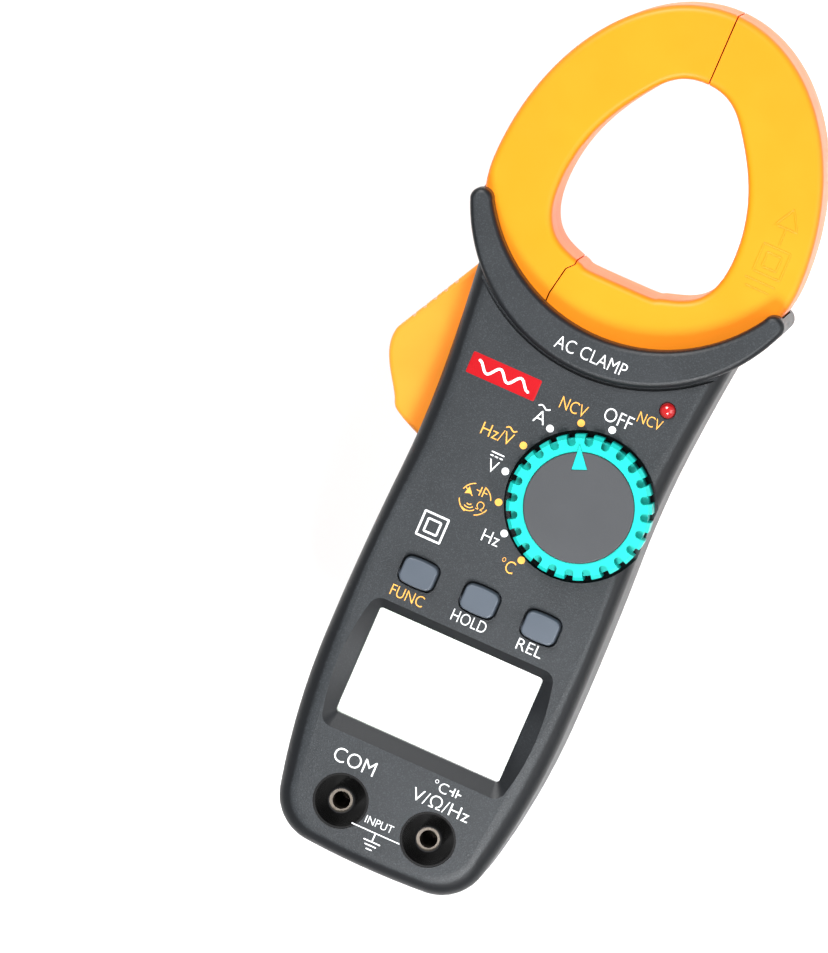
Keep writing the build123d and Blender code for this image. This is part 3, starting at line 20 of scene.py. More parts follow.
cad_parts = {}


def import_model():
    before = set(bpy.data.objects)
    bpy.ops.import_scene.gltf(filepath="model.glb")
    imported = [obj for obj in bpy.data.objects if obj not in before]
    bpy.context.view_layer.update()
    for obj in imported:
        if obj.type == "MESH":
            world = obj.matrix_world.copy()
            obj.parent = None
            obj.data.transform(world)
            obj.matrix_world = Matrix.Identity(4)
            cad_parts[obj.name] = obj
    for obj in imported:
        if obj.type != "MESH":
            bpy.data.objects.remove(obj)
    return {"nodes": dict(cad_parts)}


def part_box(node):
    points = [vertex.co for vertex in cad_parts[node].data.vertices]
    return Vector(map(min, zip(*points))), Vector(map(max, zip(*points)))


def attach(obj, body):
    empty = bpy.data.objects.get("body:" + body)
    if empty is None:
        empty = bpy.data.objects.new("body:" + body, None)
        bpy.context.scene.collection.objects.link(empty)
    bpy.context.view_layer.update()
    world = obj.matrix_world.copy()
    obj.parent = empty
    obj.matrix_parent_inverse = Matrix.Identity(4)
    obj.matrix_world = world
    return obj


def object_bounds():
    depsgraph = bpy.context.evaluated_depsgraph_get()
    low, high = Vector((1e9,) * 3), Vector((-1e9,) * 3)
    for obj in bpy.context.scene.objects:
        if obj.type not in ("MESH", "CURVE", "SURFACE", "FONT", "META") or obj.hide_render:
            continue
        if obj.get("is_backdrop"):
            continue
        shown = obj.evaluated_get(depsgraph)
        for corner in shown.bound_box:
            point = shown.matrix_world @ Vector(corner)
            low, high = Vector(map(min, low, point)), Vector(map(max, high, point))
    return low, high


log = logging.getLogger("clamp_meter")
Colour = tuple[float, float, float]

MM = 0.001
CASE_SEAM = 16.5  # mm from the back to the line where the shells meet
COLLAR_RISE = 2.0  # mm from the panel up to the collar's face
SINK = 0.004  # mm that a print or a raised mark is let into its surface
INK_RISE = 0.02  # mm thickness of the printed ink
RIM_SHARE = 0.96  # inner over outer size of the flat rim round a plate
CAPITAL_SHARE = 0.7  # height of a capital over the size of the type
LETTER_THINNING = 0.012  # how far a letter's outline draws in, over the height of its capitals


def srgb(red: int, green: int, blue: int) -> Colour:
    """Gives the linear colour of an 8-bit screen colour."""
    shares = (channel / 255 for channel in (red, green, blue))
    return tuple(c / 12.92 if c <= 0.04045 else ((c + 0.055) / 1.055) ** 2.4 for c in shares)


# ---------------------------------------------------------------- shader expressions


class Signal:
    """One shader socket that takes part in Python expressions; each operator adds a Math node."""

    def __init__(self, shader: Shader, socket: bpy.types.NodeSocket) -> None:
        """Wraps an output socket of a shader's tree."""
        self.shader = shader
        self.socket = socket

    def _math(self, operation: str, other: Any = 0.0, flipped: bool = False) -> Signal:
        """Adds one Math node, with this signal second when flipped."""
        pair = (other, self) if flipped else (self, other)
        return self.shader.add("ShaderNodeMath", {"operation": operation}, {0: pair[0], 1: pair[1]})

    def __add__(self, other: Any) -> Signal:
        """self + other."""
        return self._math("ADD", other)

    def __sub__(self, other: Any) -> Signal:
        """self - other."""
        return self._math("SUBTRACT", other)

    def __rsub__(self, other: Any) -> Signal:
        """other - self."""
        return self._math("SUBTRACT", other, flipped=True)

    def __mul__(self, other: Any) -> Signal:
        """self * other."""
        return self._math("MULTIPLY", other)

    def __abs__(self) -> Signal:
        """The absolute value."""
        return self._math("ABSOLUTE")

    def sine(self) -> Signal:
        """The sine of the signal in radians."""
        return self._math("SINE")

    def peak(self, other: Any) -> Signal:
        """The larger of the two."""
        return self._math("MAXIMUM", other)

    def rise(self, low: float, high: float) -> Signal:
        """A smooth step from 0 at low to 1 at high."""
        settings = {"interpolation_type": "SMOOTHSTEP"}
        return self.shader.add("ShaderNodeMapRange", settings, {0: self, 1: low, 2: high, 3: 0.0, 4: 1.0})

    __radd__ = __add__
    __rmul__ = __mul__


class Shader:
    """One material: a Principled surface and the nodes that feed it."""

    def __init__(self, name: str) -> None:
        """Starts an empty Principled material.

        Args:
            name: the material's name.
        """
        self.material = bpy.data.materials.new(name)
        self.material.use_nodes = True
        self.tree = self.material.node_tree
        self.surface = self.tree.nodes["Principled BSDF"]
        self.coordinates = self.tree.nodes.new("ShaderNodeTexCoord")

    def add(self, kind: str, settings: dict | None = None, inputs: dict | None = None,
            out: int = 0) -> Signal:
        """Adds any node.

        Args:
            kind: the node's type.
            settings: its properties, set before its sockets.
            inputs: values or signals for its sockets, by name or number.
            out: the number of the output that is wanted.

        Returns:
            The output as a signal.
        """
        node = self.tree.nodes.new(kind)
        for name, value in (settings or {}).items():
            setattr(node, name, value)
        for name, value in (inputs or {}).items():
            self._feed(node.inputs[name], value)
        return Signal(self, node.outputs[out])

    def _feed(self, socket: bpy.types.NodeSocket, value: Any) -> None:
        """Links a signal to a socket, or sets the socket's own value.

        Args:
            socket: an input socket.
            value: a signal, a colour or a number.
        """
        if isinstance(value, Signal):
            self.tree.links.new(value.socket, socket)
        elif isinstance(value, tuple) and socket.type == "RGBA":
            socket.default_value = (*value[:3], 1.0)
        else:
            socket.default_value = value

    def set(self, **values: Any) -> None:
        """Feeds the surface's sockets; underscores stand for the spaces in their names."""
        for name, value in values.items():
            self._feed(self.surface.inputs[name.replace("_", " ")], value)

    def place(self, axis: str) -> Signal:
        """One Object coordinate, in metres.

        Args:
            axis: X, Y or Z.

        Returns:
            The coordinate.
        """
        split = self.tree.nodes.new("ShaderNodeSeparateXYZ")
        self.tree.links.new(self.coordinates.outputs["Object"], split.inputs[0])
        return Signal(self, split.outputs[axis])

    def flatness(self) -> Signal:
        """How squarely the surface faces out of the panel or the back.

        Returns:
            1 on faces, 0 on sides.
        """
        split = self.tree.nodes.new("ShaderNodeSeparateXYZ")
        self.tree.links.new(self.coordinates.outputs["Normal"], split.inputs[0])
        return abs(Signal(self, split.outputs["Z"]))

    def noise(self, size_mm: float, detail: float = 2.0, stretch: Vector | tuple = (1, 1, 1)) -> Signal:
        """Cloud noise from 0 to 1.

        Args:
            size_mm: the width of one cloud.
            detail: how many finer layers lie on it.
            stretch: how many times finer the cloud is along each axis.

        Returns:
            The noise value.
        """
        at = Signal(self, self.coordinates.outputs["Object"])
        if tuple(stretch) != (1, 1, 1):
            at = self.add("ShaderNodeVectorMath", {"operation": "MULTIPLY"}, {0: at, 1: tuple(stretch)})
        inputs = {"Vector": at, "Scale": 1 / (size_mm * MM), "Detail": detail}
        return self.add("ShaderNodeTexNoise", {}, inputs)

    def cells(self, size_mm: float) -> Signal:
        """Distance from the nearest of many scattered points, for spark-eroded grain."""
        at = Signal(self, self.coordinates.outputs["Object"])
        return self.add("ShaderNodeTexVoronoi", {}, {"Vector": at, "Scale": 1 / (size_mm * MM)})

    def mix(self, factor: Any, first: Any, second: Any) -> Signal:
        """Blends two colours through a Mix node.

        Args:
            factor: 0 for the first, 1 for the second.
            first: a colour or a signal.
            second: a colour or a signal.

        Returns:
            The blend.
        """
        node = self.tree.nodes.new("ShaderNodeMix")
        node.data_type = "RGBA"
        sockets = [s for s in node.inputs if s.enabled]
        for socket, value in zip(sockets, (factor, first, second)):
            self._feed(socket, value)
        return Signal(self, next(s for s in node.outputs if s.enabled))

    def relief(self, height: Signal, depth_mm: float, strength: float = 1.0) -> None:
        """Turns a height from 0 to 1 into a Bump node that feeds Normal."""
        inputs = {"Strength": strength, "Distance": depth_mm * MM, "Height": height}
        self.set(Normal=self.add("ShaderNodeBump", {}, inputs))


def tinted(colour: Colour, factor: float) -> Colour:
    """The colour made lighter or darker."""
    return tuple(min(1.0, channel * factor) for channel in colour)


# ---------------------------------------------------------------- finishes


@dataclass(frozen=True)
class Moulding:
    """Injection-moulded plastic or rubber: tool grain, flow clouds, handling scuffs.

    Attributes:
        name: what a maker calls the finish.
        colour: its linear colour.
        roughness: the mean roughness.
        grain_mm: the size of the tool's grain.
        grain_depth_mm: how deep the grain is.
        clouds: how far the colour drifts.
        scuffs: how much the handling marks show.
        coat: the weight of a glossy skin.
        specular: the specular level.
    """

    name: str
    colour: Colour
    roughness: float = 0.45
    grain_mm: float = 0.3
    grain_depth_mm: float = 0.01
    clouds: float = 0.08
    scuffs: float = 0.5
    coat: float = 0.0
    specular: float = 0.4

    def scratches(self, shader: Shader) -> Signal:
        """Hairlines in patches: the thin band where a long stretched noise crosses its middle.

        Args:
            shader: the material in the making.

        Returns:
            The marks, from 0 to 1.
        """
        lines = shader.noise(2.4, 1.0, (1.0, 7.0, 1.0))
        hair = 1 - abs(lines - 0.5).rise(0.0, 0.012)
        patches = shader.noise(14.0, 2.0).rise(0.52, 0.68)
        return hair * patches * self.scuffs

    def paint(self, shader: Shader) -> Signal:
        """The base colour: two shades blended by flow clouds."""
        drift = shader.noise(18.0, 3.0).rise(0.3, 0.7)
        return shader.mix(drift, tinted(self.colour, 1 - self.clouds), tinted(self.colour, 1 + self.clouds))

    def height(self, shader: Shader) -> Signal:
        """The grain: scattered pits softened by a finer noise."""
        return shader.cells(self.grain_mm) * 0.7 + shader.noise(self.grain_mm * 0.6, 2.0) * 0.5

    def make(self) -> bpy.types.Material:
        """Builds the material.

        Returns:
            The new material.
        """
        shader = Shader(self.name)
        marks = self.scratches(shader)
        worn = shader.mix(marks * 0.25, self.paint(shader), tinted(self.colour, 1.9))
        rub = shader.noise(9.0, 3.0)
        shader.set(Base_Color=worn, Roughness=rub * 0.16 + marks * 0.15 + (self.roughness - 0.08))
        shader.set(Coat_Weight=self.coat, Coat_Roughness=0.12, Specular_IOR_Level=self.specular)
        shader.relief(self.height(shader) - marks * 0.3, self.grain_depth_mm)
        return shader.material


@dataclass(frozen=True)
class ShellMoulding(Moulding):
    """A pair of shells: sides and edges darkened in a painted shade, and a groove where the halves meet.

    Attributes:
        side: the darker colour painted on the sides and edges as shade.
        seam_z: the height of the parting line, in metres.
        side_grain: how much of the face's grain the sides keep.
        seam_mm: the width of the groove where the halves meet.
        face_from: the flatness at which the sides' painted shade starts and ends its blend into the face's
            colour.
        fleck: how strongly the peaks of the grain catch the light.
    """

    side: Colour = (0.02, 0.02, 0.02)
    seam_z: float = 0.0165
    side_grain: float = 0.4
    seam_mm: float = 0.16
    face_from: tuple[float, float] = (0.9, 0.975)
    fleck: float = 0.0

    def make(self) -> bpy.types.Material:
        """Builds the material.

        Returns:
            The new material.
        """
        shader = Shader(self.name)
        face = shader.flatness().rise(*self.face_from)
        seam = 1 - abs(shader.place("Z") - self.seam_z).rise(self.seam_mm * 0.5 * MM, self.seam_mm * MM)
        marks = self.scratches(shader)
        # painted shade: where the surface turns away from the panel or the back, the colour blends to the
        # darker side colour
        body = shader.mix(face, shader.mix(shader.noise(9.0, 2.0), tinted(self.side, 0.92), self.side),
                          self.paint(shader))
        fleck = shader.noise(self.grain_mm * 0.8, 1.0).rise(0.5, 0.72) * face * self.fleck
        body = shader.mix(fleck, body, tinted(self.colour, 2.2))
        worn = shader.mix(marks * 0.22, body, tinted(self.colour, 1.8))
        shader.set(Base_Color=shader.mix(seam * 0.7, worn, tinted(self.side, 0.35)))
        rub = shader.noise(9.0, 3.0)
        shader.set(Roughness=rub * 0.14 + marks * 0.15 + face * 0.06 + (self.roughness - 0.1))
        shader.set(Coat_Weight=self.coat, Coat_Roughness=0.15, Specular_IOR_Level=self.specular)
        grain = self.height(shader) * (face * (1 - self.side_grain) + self.side_grain)
        shader.relief(grain - marks * 0.3 - seam * 6.0, self.grain_depth_mm)
        return shader.material


@dataclass(frozen=True)
class Metal:
    """Bare or plated metal: drawn or turned lines, dull patches and a little tarnish.

    Attributes:
        name: what a maker calls the finish.
        colour: its linear colour.
        roughness: the mean roughness.
        lines: how many times finer the tool lines are along each axis.
        tarnish: the colour of the dull patches.
    """

    name: str
    colour: Colour
    roughness: float = 0.28
    lines: tuple[float, float, float] = (1.0, 1.0, 8.0)
    tarnish: Colour = (0.25, 0.22, 0.18)

    def make(self) -> bpy.types.Material:
        """Builds the material.

        Returns:
            The new material.
        """
        shader = Shader(self.name)
        streak = shader.noise(0.5, 3.0, self.lines)
        patch = shader.noise(2.5, 4.0).rise(0.55, 0.8)
        shader.set(Base_Color=shader.mix(patch * 0.35, self.colour, self.tarnish), Metallic=1.0)
        shader.set(Roughness=streak * 0.2 + patch * 0.15 + (self.roughness - 0.1))
        shader.relief(streak, 0.006)
        return shader.material


@dataclass(frozen=True)
class Banded:
    """Turns of wire or stacked sheet: ridges at a steady pitch along one axis, with painted shade in the
    valleys and painted highlight on the crests.

    Attributes:
        name: what a maker calls the finish.
        colour: its linear colour.
        axis: the axis along which the ridges follow one another.
        pitch_mm: the distance from ridge to ridge.
        metallic: how far it is bare metal.
        roughness: the mean roughness.
    """

    name: str
    colour: Colour
    axis: str
    pitch_mm: float
    metallic: float = 0.0
    roughness: float = 0.35

    def make(self) -> bpy.types.Material:
        """Builds the material: ridge height is the sine of the place along the axis, and the colour follows
        it as painted shade and highlight.

        Returns:
            The new material.
        """
        shader = Shader(self.name)
        wave = (shader.place(self.axis) * (math.tau / (self.pitch_mm * MM))).sine() * 0.5 + 0.5
        # painted shade and highlight: valleys darkened to 0.45 of the colour, crests lightened to 1.15
        shade = shader.mix(wave, tinted(self.colour, 0.45), tinted(self.colour, 1.15))
        shader.set(Base_Color=shade, Metallic=self.metallic)
        shader.set(Roughness=shader.noise(1.5, 3.0) * 0.2 + (self.roughness - 0.1))
        shader.relief(wave, self.pitch_mm * 0.25)
        return shader.material


@dataclass(frozen=True)
class Board:
    """Circuit board: solder mask over straight tracks, with bare pads."""

    name: str
    mask: Colour
    track: Colour
    pad: Colour

    def make(self) -> bpy.types.Material:
        """Builds the material: tracks follow sine stripes that jump where a coarse noise does.

        Returns:
            The new material.
        """
        shader = Shader(self.name)
        jog = shader.noise(7.0, 0.0)
        along = (shader.place("X") * (math.tau / (1.3 * MM)) + jog * 14.0).sine().rise(0.55, 0.7)
        across = (shader.place("Y") * (math.tau / (2.2 * MM)) + jog * 11.0).sine().rise(0.7, 0.8)
        tracks = along.peak(across)
        pads = 1 - shader.cells(3.1).rise(0.1, 0.13)
        shade = shader.mix(tracks, self.mask, self.track)
        shader.set(Base_Color=shader.mix(pads, shade, self.pad), Metallic=pads * 0.9)
        shader.set(Roughness=shader.noise(2.0, 3.0) * 0.2 + 0.25)
        shader.relief(tracks.peak(pads), 0.035)
        return shader.material


@dataclass(frozen=True)
class ClearPane:
    """Polished clear plastic that shows what lies under it."""

    name: str
    tint: Colour
    alpha: float

    def make(self) -> bpy.types.Material:
        """Builds the material: nearly clear, with faint dull wipes in its polish.

        Returns:
            The new material.
        """
        shader = Shader(self.name)
        wipes = shader.noise(6.0, 3.0, (1.0, 3.0, 1.0)).rise(0.5, 0.75)
        shader.set(Base_Color=shader.mix(wipes, self.tint, tinted(self.tint, 0.9)), Alpha=self.alpha)
        shader.set(Roughness=wipes * 0.08 + 0.04, Specular_IOR_Level=0.8)
        shader.relief(shader.noise(12.0, 1.0), 0.02)
        return shader.material


@dataclass(frozen=True)
class DisplayFace:
    """The face of a liquid-crystal display that is switched off, given a painted glow so that it reads
    evenly white.
    """

    name: str
    near: Colour
    far: Colour
    left_x: float
    right_x: float

    def make(self) -> bpy.types.Material:
        """Builds the material: a slow drift of tint from one end to the other over a fine speckle, with a
        painted glow of the same tint.

        Returns:
            The new material.
        """
        shader = Shader(self.name)
        reach = shader.place("X").rise(self.left_x, self.right_x)
        speckle = shader.noise(0.18, 1.0)
        tone = shader.mix(reach + speckle * 0.12, self.near, self.far)
        shader.set(Base_Color=tone, Roughness=speckle * 0.12 + 0.25, Specular_IOR_Level=0.3)
        # painted glow: the switched-off face emits its own tint, which hides the shading at its borders
        shader.set(Emission_Color=tone, Emission_Strength=0.75)
        shader.relief(speckle, 0.003)
        return shader.material


@dataclass(frozen=True)
class LampLens:
    """Tinted diffusing resin: a painted shade of deeper colour at the rim and a paler painted highlight at
    the crown.
    """

    name: str
    colour: Colour
    crown_z: float
    drop_mm: float = 2.4

    def make(self) -> bpy.types.Material:
        """Builds the material: colour follows the height below the crown, as painted shade and highlight.

        Returns:
            The new material.
        """
        shader = Shader(self.name)
        crown = shader.place("Z").rise(self.crown_z - self.drop_mm * MM, self.crown_z)
        haze = shader.noise(0.7, 2.0)
        # painted shade and highlight: darker at the rim, paler towards the crown
        tone = shader.mix(crown * 0.8 + haze * 0.2, tinted(self.colour, 0.45), tinted(self.colour, 1.2))
        shader.set(Base_Color=tone, Roughness=haze * 0.1 + 0.1, Coat_Weight=1.0, Coat_Roughness=0.04)
        shader.relief(haze, 0.004)
        return shader.material


@dataclass(frozen=True)
class Ink:
    """Pad-printed ink: slightly uneven cover over the grain of the plastic."""

    name: str
    colour: Colour

    def make(self) -> bpy.types.Material:
        """Builds the material.

        Returns:
            The new material.
        """
        shader = Shader(self.name)
        cover = shader.noise(0.35, 3.0)
        thin = shader.noise(1.6, 2.0).rise(0.55, 0.8)
        shade = shader.mix(cover * 0.3 + thin * 0.4, self.colour, tinted(self.colour, 0.8))
        shader.set(Base_Color=shade, Roughness=cover * 0.2 + 0.4, Specular_IOR_Level=0.25)
        shader.relief(cover, 0.008)
        return shader.material


# ---------------------------------------------------------------- surfaces


@dataclass
class Surface:
    """Vertices and faces gathered for one mesh."""

    points: list[np.ndarray] = field(default_factory=list)
    faces: list[tuple[int, ...]] = field(default_factory=list)
    count: int = 0

    def gather(self, points: np.ndarray, faces: Any) -> None:
        """Adds a patch.

        Args:
            points: an (n, 3) array of points in metres.
            faces: loops of point numbers, counted from 0 within the patch.
        """
        self.points.append(points)
        self.faces.extend(tuple(int(i) + self.count for i in face) for face in faces)
        self.count += len(points)

    def piece(self, name: str, finish: Any, body: str, slot: str) -> bpy.types.Object:
        """Makes the mesh object, gives it its finish and lets it ride on a body.

        Args:
            name: the piece's name.
            finish: a material.
            body: the CAD body it moves with.
            slot: not used.

        Returns:
            The new object.
        """
        mesh = bpy.data.meshes.new(name)
        mesh.from_pydata(np.concatenate(self.points).tolist(), [], self.faces)
        mesh.validate()
        mesh.materials.append(finish)
        mesh.shade_smooth()
        made = bpy.data.objects.new(name, mesh)
        bpy.context.scene.collection.objects.link(made)
        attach(made, body)
        log.info("%s: %d faces on %s", name, len(mesh.polygons), body)
        return made


def grid_faces(rows: int, columns: int, wrap: bool) -> np.ndarray:
    """Quads of a grid whose points run along its rows.

    Args:
        rows: rows of points.
        columns: points in a row.
        wrap: whether the last row joins the first.

    Returns:
        An (n, 4) array of point numbers.
    """
    row, column = np.meshgrid(np.arange(rows if wrap else rows - 1), np.arange(columns - 1), indexing="ij")
    after = (row + 1) % rows
    corners = (row * columns + column, after * columns + column,
               after * columns + column + 1, row * columns + column + 1)
    return np.stack([c.ravel() for c in corners], axis=1)


def stroke(path: np.ndarray, width: float, base_z: float, rise: float,
           closed: bool = False) -> tuple:
    """A raised line of ink or plastic along a flat path.

    The profile is half an ellipse: across it runs as width/2 times the cosine, up as rise times the sine,
    over half a turn. It is carried along the path at right angles to it, and the ends of an open path are
    drawn out into half circles of the same width.

    Args:
        path: an (n, 2) array of points in metres.
        width: the width of the line.
        base_z: the height of the surface it stands on.
        rise: its thickness.
        closed: whether the path is a loop.

    Returns:
        Points and faces.
    """
    share = np.ones(len(path))
    if not closed:
        lead = np.linspace(0.0, 1.0, 5)[:-1]
        first = path[0] - (path[1] - path[0]) / np.linalg.norm(path[1] - path[0]) * width / 2
        last = path[-1] + (path[-1] - path[-2]) / np.linalg.norm(path[-1] - path[-2]) * width / 2
        head = first + (path[0] - first) * lead[:, None]
        tail = path[-1] + (last - path[-1]) * (1 - lead[::-1])[:, None]
        path = np.concatenate([head, path, tail])
        round_end = np.sqrt(1 - (1 - lead) ** 2)
        share = np.concatenate([round_end, share, round_end[::-1]])
        tangent = np.gradient(path, axis=0)
    else:
        tangent = np.roll(path, -1, axis=0) - np.roll(path, 1, axis=0)
    tangent /= np.linalg.norm(tangent, axis=1)[:, None]
    normal = np.stack([-tangent[:, 1], tangent[:, 0]], axis=1)
    turn = np.linspace(0.0, math.pi, 7)
    across = (share * width / 2)[:, None] * np.cos(turn)[None, :]
    up = np.where(share > 0, 1.0, 0.0)[:, None] * np.sin(turn)[None, :] * rise
    flat = path[:, None, :] + normal[:, None, :] * across[:, :, None]
    points = np.concatenate([flat, (base_z + up)[:, :, None]], axis=2).reshape(-1, 3)
    return points, grid_faces(len(path), len(turn), closed)[:, ::-1]


def pad(outline: np.ndarray, base_z: float, rise: float, shrink: float = 0.96) -> tuple:
    """A thin plate over a star-shaped outline.

    The outline is drawn at the base, lifted to the rise as its points move to shrink times their distance
    from the middle, bordered by a narrow flat rim, and closed by a fan of triangles to the middle.

    Args:
        outline: an (n, 2) loop of points, counter-clockwise, in metres.
        base_z: the height of the surface it stands on.
        rise: its thickness.
        shrink: how far the lifted edge has moved in.

    Returns:
        Points and faces.
    """
    middle = outline.mean(axis=0)
    count = len(outline)
    rings = [np.column_stack([middle + (outline - middle) * share, np.full(count, z)])
             for share, z in ((1.0, base_z), (shrink, base_z + rise), (shrink * RIM_SHARE, base_z + rise))]
    points = np.concatenate([*rings, [[*middle, base_z + rise]]])
    here = np.arange(count)
    after = (here + 1) % count
    walls = [np.stack([here, after, after + count, here + count], axis=1) + ring * count for ring in (0, 1)]
    fan = np.stack([here + 2 * count, after + 2 * count, np.full(count, 3 * count)], axis=1)
    return points, [*walls[0].tolist(), *walls[1].tolist(), *fan.tolist()]


def ring_path(centre: np.ndarray, radius: float, start: float = 0.0, sweep: float = 360.0) -> np.ndarray:
    """Points on an arc: the centre plus radius times the cosine and sine of evenly spaced angles.

    Args:
        centre: the arc's centre in metres.
        radius: its radius in metres.
        start: the angle of its first point in degrees.
        sweep: how far it turns in degrees; a whole circle leaves out its repeated end.

    Returns:
        An (n, 2) array of points.
    """
    whole = sweep == 360.0
    angles = np.radians(np.linspace(start, start + sweep, 48 if whole else 20, endpoint=not whole))
    return centre + radius * np.stack([np.cos(angles), np.sin(angles)], axis=1)


def wave_path(centre: np.ndarray, length: float, swing: float, turns: float) -> np.ndarray:
    """A sine line: x runs evenly over the length while y swings as its sine, rising first."""
    run = np.linspace(-0.5, 0.5, 40)
    return centre + np.stack([run * length, np.sin(run * turns * math.tau) * -swing], axis=1)


def rounded_loop(centre: np.ndarray, half: tuple[float, float], corner: float) -> np.ndarray:
    """A rectangle with round corners: a quarter turn of radius corner about each inner corner.

    Args:
        centre: its middle in metres.
        half: half its width and half its height.
        corner: the radius of its corners.

    Returns:
        An (n, 2) loop of points, counter-clockwise.
    """
    parts = []
    for turn, (sx, sy) in enumerate(((1, 1), (-1, 1), (-1, -1), (1, -1))):
        angles = np.radians(np.linspace(90 * turn, 90 * turn + 90, 7))
        inner = centre + np.array([sx * (half[0] - corner), sy * (half[1] - corner)])
        parts.append(inner + corner * np.stack([np.cos(angles), np.sin(angles)], axis=1))
    return np.concatenate(parts)


# ---------------------------------------------------------------- legends


class InkTone(Enum):
    """The inks of the panel's legends."""

    WHITE = "white"
    ORANGE = "orange"


@dataclass(frozen=True)
class Word:
    """One printed word: its middle in panel millimetres and the height of its capitals."""

    text: str
    x: float
    d: float
    height: float
    tone: InkTone = InkTone.WHITE
    width: float | None = None


@dataclass
class Panel:
    """The places on the panel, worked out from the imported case.

    Attributes:
        end_y: the jack end of the case.
        face_z: the height of the panel.
        collar_z: the height of the collar.
        jaw_z: the height of the jaw's front face.
        dial: the dial's centre in panel millimetres.
    """

    end_y: float
    face_z: float
    collar_z: float
    jaw_z: float
    dial: tuple[float, float]

    @classmethod
    def from_frame(cls) -> Panel:
        """Reads the heights and the dial's centre from the CAD boxes.

        Returns:
            The panel.
        """
        case_low, case_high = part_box("front_case")
        knob_low, knob_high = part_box("dial_knob")
        end_y = case_low.y
        dial = ((knob_low.x + knob_high.x) / 2 / MM, ((knob_low.y + knob_high.y) / 2 - end_y) / MM)
        jaw_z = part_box("fixed_jaw_front_shell")[1].z
        return cls(end_y, case_high.z - COLLAR_RISE * MM, case_high.z, jaw_z, dial)

    def at(self, x: float, d: float) -> np.ndarray:
        """The place in metres of a panel point in millimetres."""
        return np.array([x * MM, self.end_y + d * MM])


@dataclass
class Legends:
    """Everything that is printed on the case, gathered into one piece for each ink.

    Attributes:
        panel: the places on the panel.
        line_mm: the width of an ordinary printed line.
        dot_mm: the radius of a dot by the dial.
        dot_ring_mm: the radius of the ring of dots.
        dot_shift_mm: how far the ring's centre lies from the dial's.
        dot_step_deg: the angle from dot to dot.
        words: the words on the panel.
        collar_words: the words on the collar.
        inks: the surface that each ink has gathered.
    """

    panel: Panel
    line_mm: float = 0.34
    dot_mm: float = 0.85
    dot_ring_mm: float = 18.0
    dot_shift_mm: tuple[float, float] = (-0.3, 0.4)
    dot_step_deg: float = 22.5
    words: tuple[Word, ...] = (
        Word("OFF", 12.0, 115.3, 3.2, width=6.6),
        Word("NCV", 1.9, 113.6, 2.8, InkTone.ORANGE, 6.2),
        Word("A", -4.0, 108.6, 3.0),
        Word("Hz/V", -11.2, 101.3, 2.9, InkTone.ORANGE, 7.4),
        Word("V", -9.3, 94.3, 2.9),
        Word("Hz", -3.3, 79.6, 2.9, width=4.0),
        Word("°C", 2.5, 75.4, 2.9, InkTone.ORANGE, 3.3),
        Word("NCV", 18.6, 117.6, 2.5, InkTone.ORANGE, 5.6),
        Word("FUNC", -15.2, 60.2, 2.6, InkTone.ORANGE, 7.8),
        Word("HOLD", -0.4, 60.6, 2.7, width=8.2),
        Word("REL", 14.3, 60.6, 2.7, width=6.0),
        Word("COM", -11.2, 21.6, 3.4, width=9.8),
        Word("°C", 8.6, 24.2, 2.4, width=3.4),
        Word("V/Ω/Hz", 10.2, 20.6, 2.9, width=13.7),
        Word("INPUT", -0.6, 10.9, 1.8, width=6.6),
    )
    collar_words: tuple[Word, ...] = (Word("AC CLAMP", 1.0, 125.8, 3.0, width=17.0),)
    inks: dict[InkTone, Surface] = field(default_factory=lambda: {tone: Surface() for tone in InkTone})

    def print(self) -> None:
        """Gathers every mark and makes the pieces."""
        for word in self.words:
            self.letter(word, self.panel.face_z)
        for word in self.collar_words:
            self.letter(word, self.panel.collar_z)
        self.dial_dots()
        self.alternating_marks()
        self.direct_mark()
        self.continuity_icon()
        self.jack_marks()
        self.double_square()
        white = Ink("white_print", srgb(236, 238, 240)).make()
        orange = Ink("orange_print", srgb(240, 172, 78)).make()
        self.inks[InkTone.WHITE].piece("white_legends", white, "case", "white_plastic")
        self.inks[InkTone.ORANGE].piece("orange_legends", orange, "case", "jaw_plastic")
        self.badge(white)

    def letter(self, word: Word, base_z: float) -> None:
        """Sets one word as a thin solid and lays it on the surface with its middle at its place.

        Args:
            word: the word.
            base_z: the height of the surface in metres.
        """
        curve = bpy.data.curves.new("setting", "FONT")
        curve.body = word.text
        curve.size = word.height / CAPITAL_SHARE * MM
        curve.resolution_u = 4
        curve.extrude = INK_RISE * MM / 2
        curve.offset = -LETTER_THINNING * word.height * MM
        setting = bpy.data.objects.new("setting", curve)
        bpy.context.scene.collection.objects.link(setting)
        bpy.context.view_layer.update()
        graph = bpy.context.evaluated_depsgraph_get()
        mesh = bpy.data.meshes.new_from_object(setting.evaluated_get(graph))
        points = np.empty(len(mesh.vertices) * 3)
        mesh.vertices.foreach_get("co", points)
        points = points.reshape(-1, 3)
        faces = [tuple(polygon.vertices) for polygon in mesh.polygons]
        bpy.data.objects.remove(setting)
        bpy.data.curves.remove(curve)
        bpy.data.meshes.remove(mesh)
        middle = (points.max(axis=0) + points.min(axis=0)) / 2
        breadth = points[:, 0].max() - points[:, 0].min()
        squeeze = word.width * MM / breadth if word.width else 1.0
        x, y = self.panel.at(word.x, word.d)
        points = (points - middle) * [squeeze, 1.0, 1.0] + [x, y, base_z + (INK_RISE / 2 - SINK) * MM]
        self.inks[word.tone].gather(points, faces)

    def line(self, tone: InkTone, path: np.ndarray, closed: bool = False,
             width: float | None = None) -> None:
        """Draws one printed line on the panel."""
        base = self.panel.face_z - SINK * MM
        self.inks[tone].gather(*stroke(path, (width or self.line_mm) * MM, base, INK_RISE * MM, closed))

    def straight(self, tone: InkTone, start: tuple[float, float], end: tuple[float, float],
                 width: float | None = None) -> None:
        """Draws one straight printed line between two panel points in millimetres."""
        self.line(tone, np.linspace(self.panel.at(*start), self.panel.at(*end), 3), width=width)

    def patch(self, tone: InkTone, outline: np.ndarray) -> None:
        """Prints one filled shape on the panel."""
        self.inks[tone].gather(*pad(outline, self.panel.face_z - SINK * MM, INK_RISE * MM))

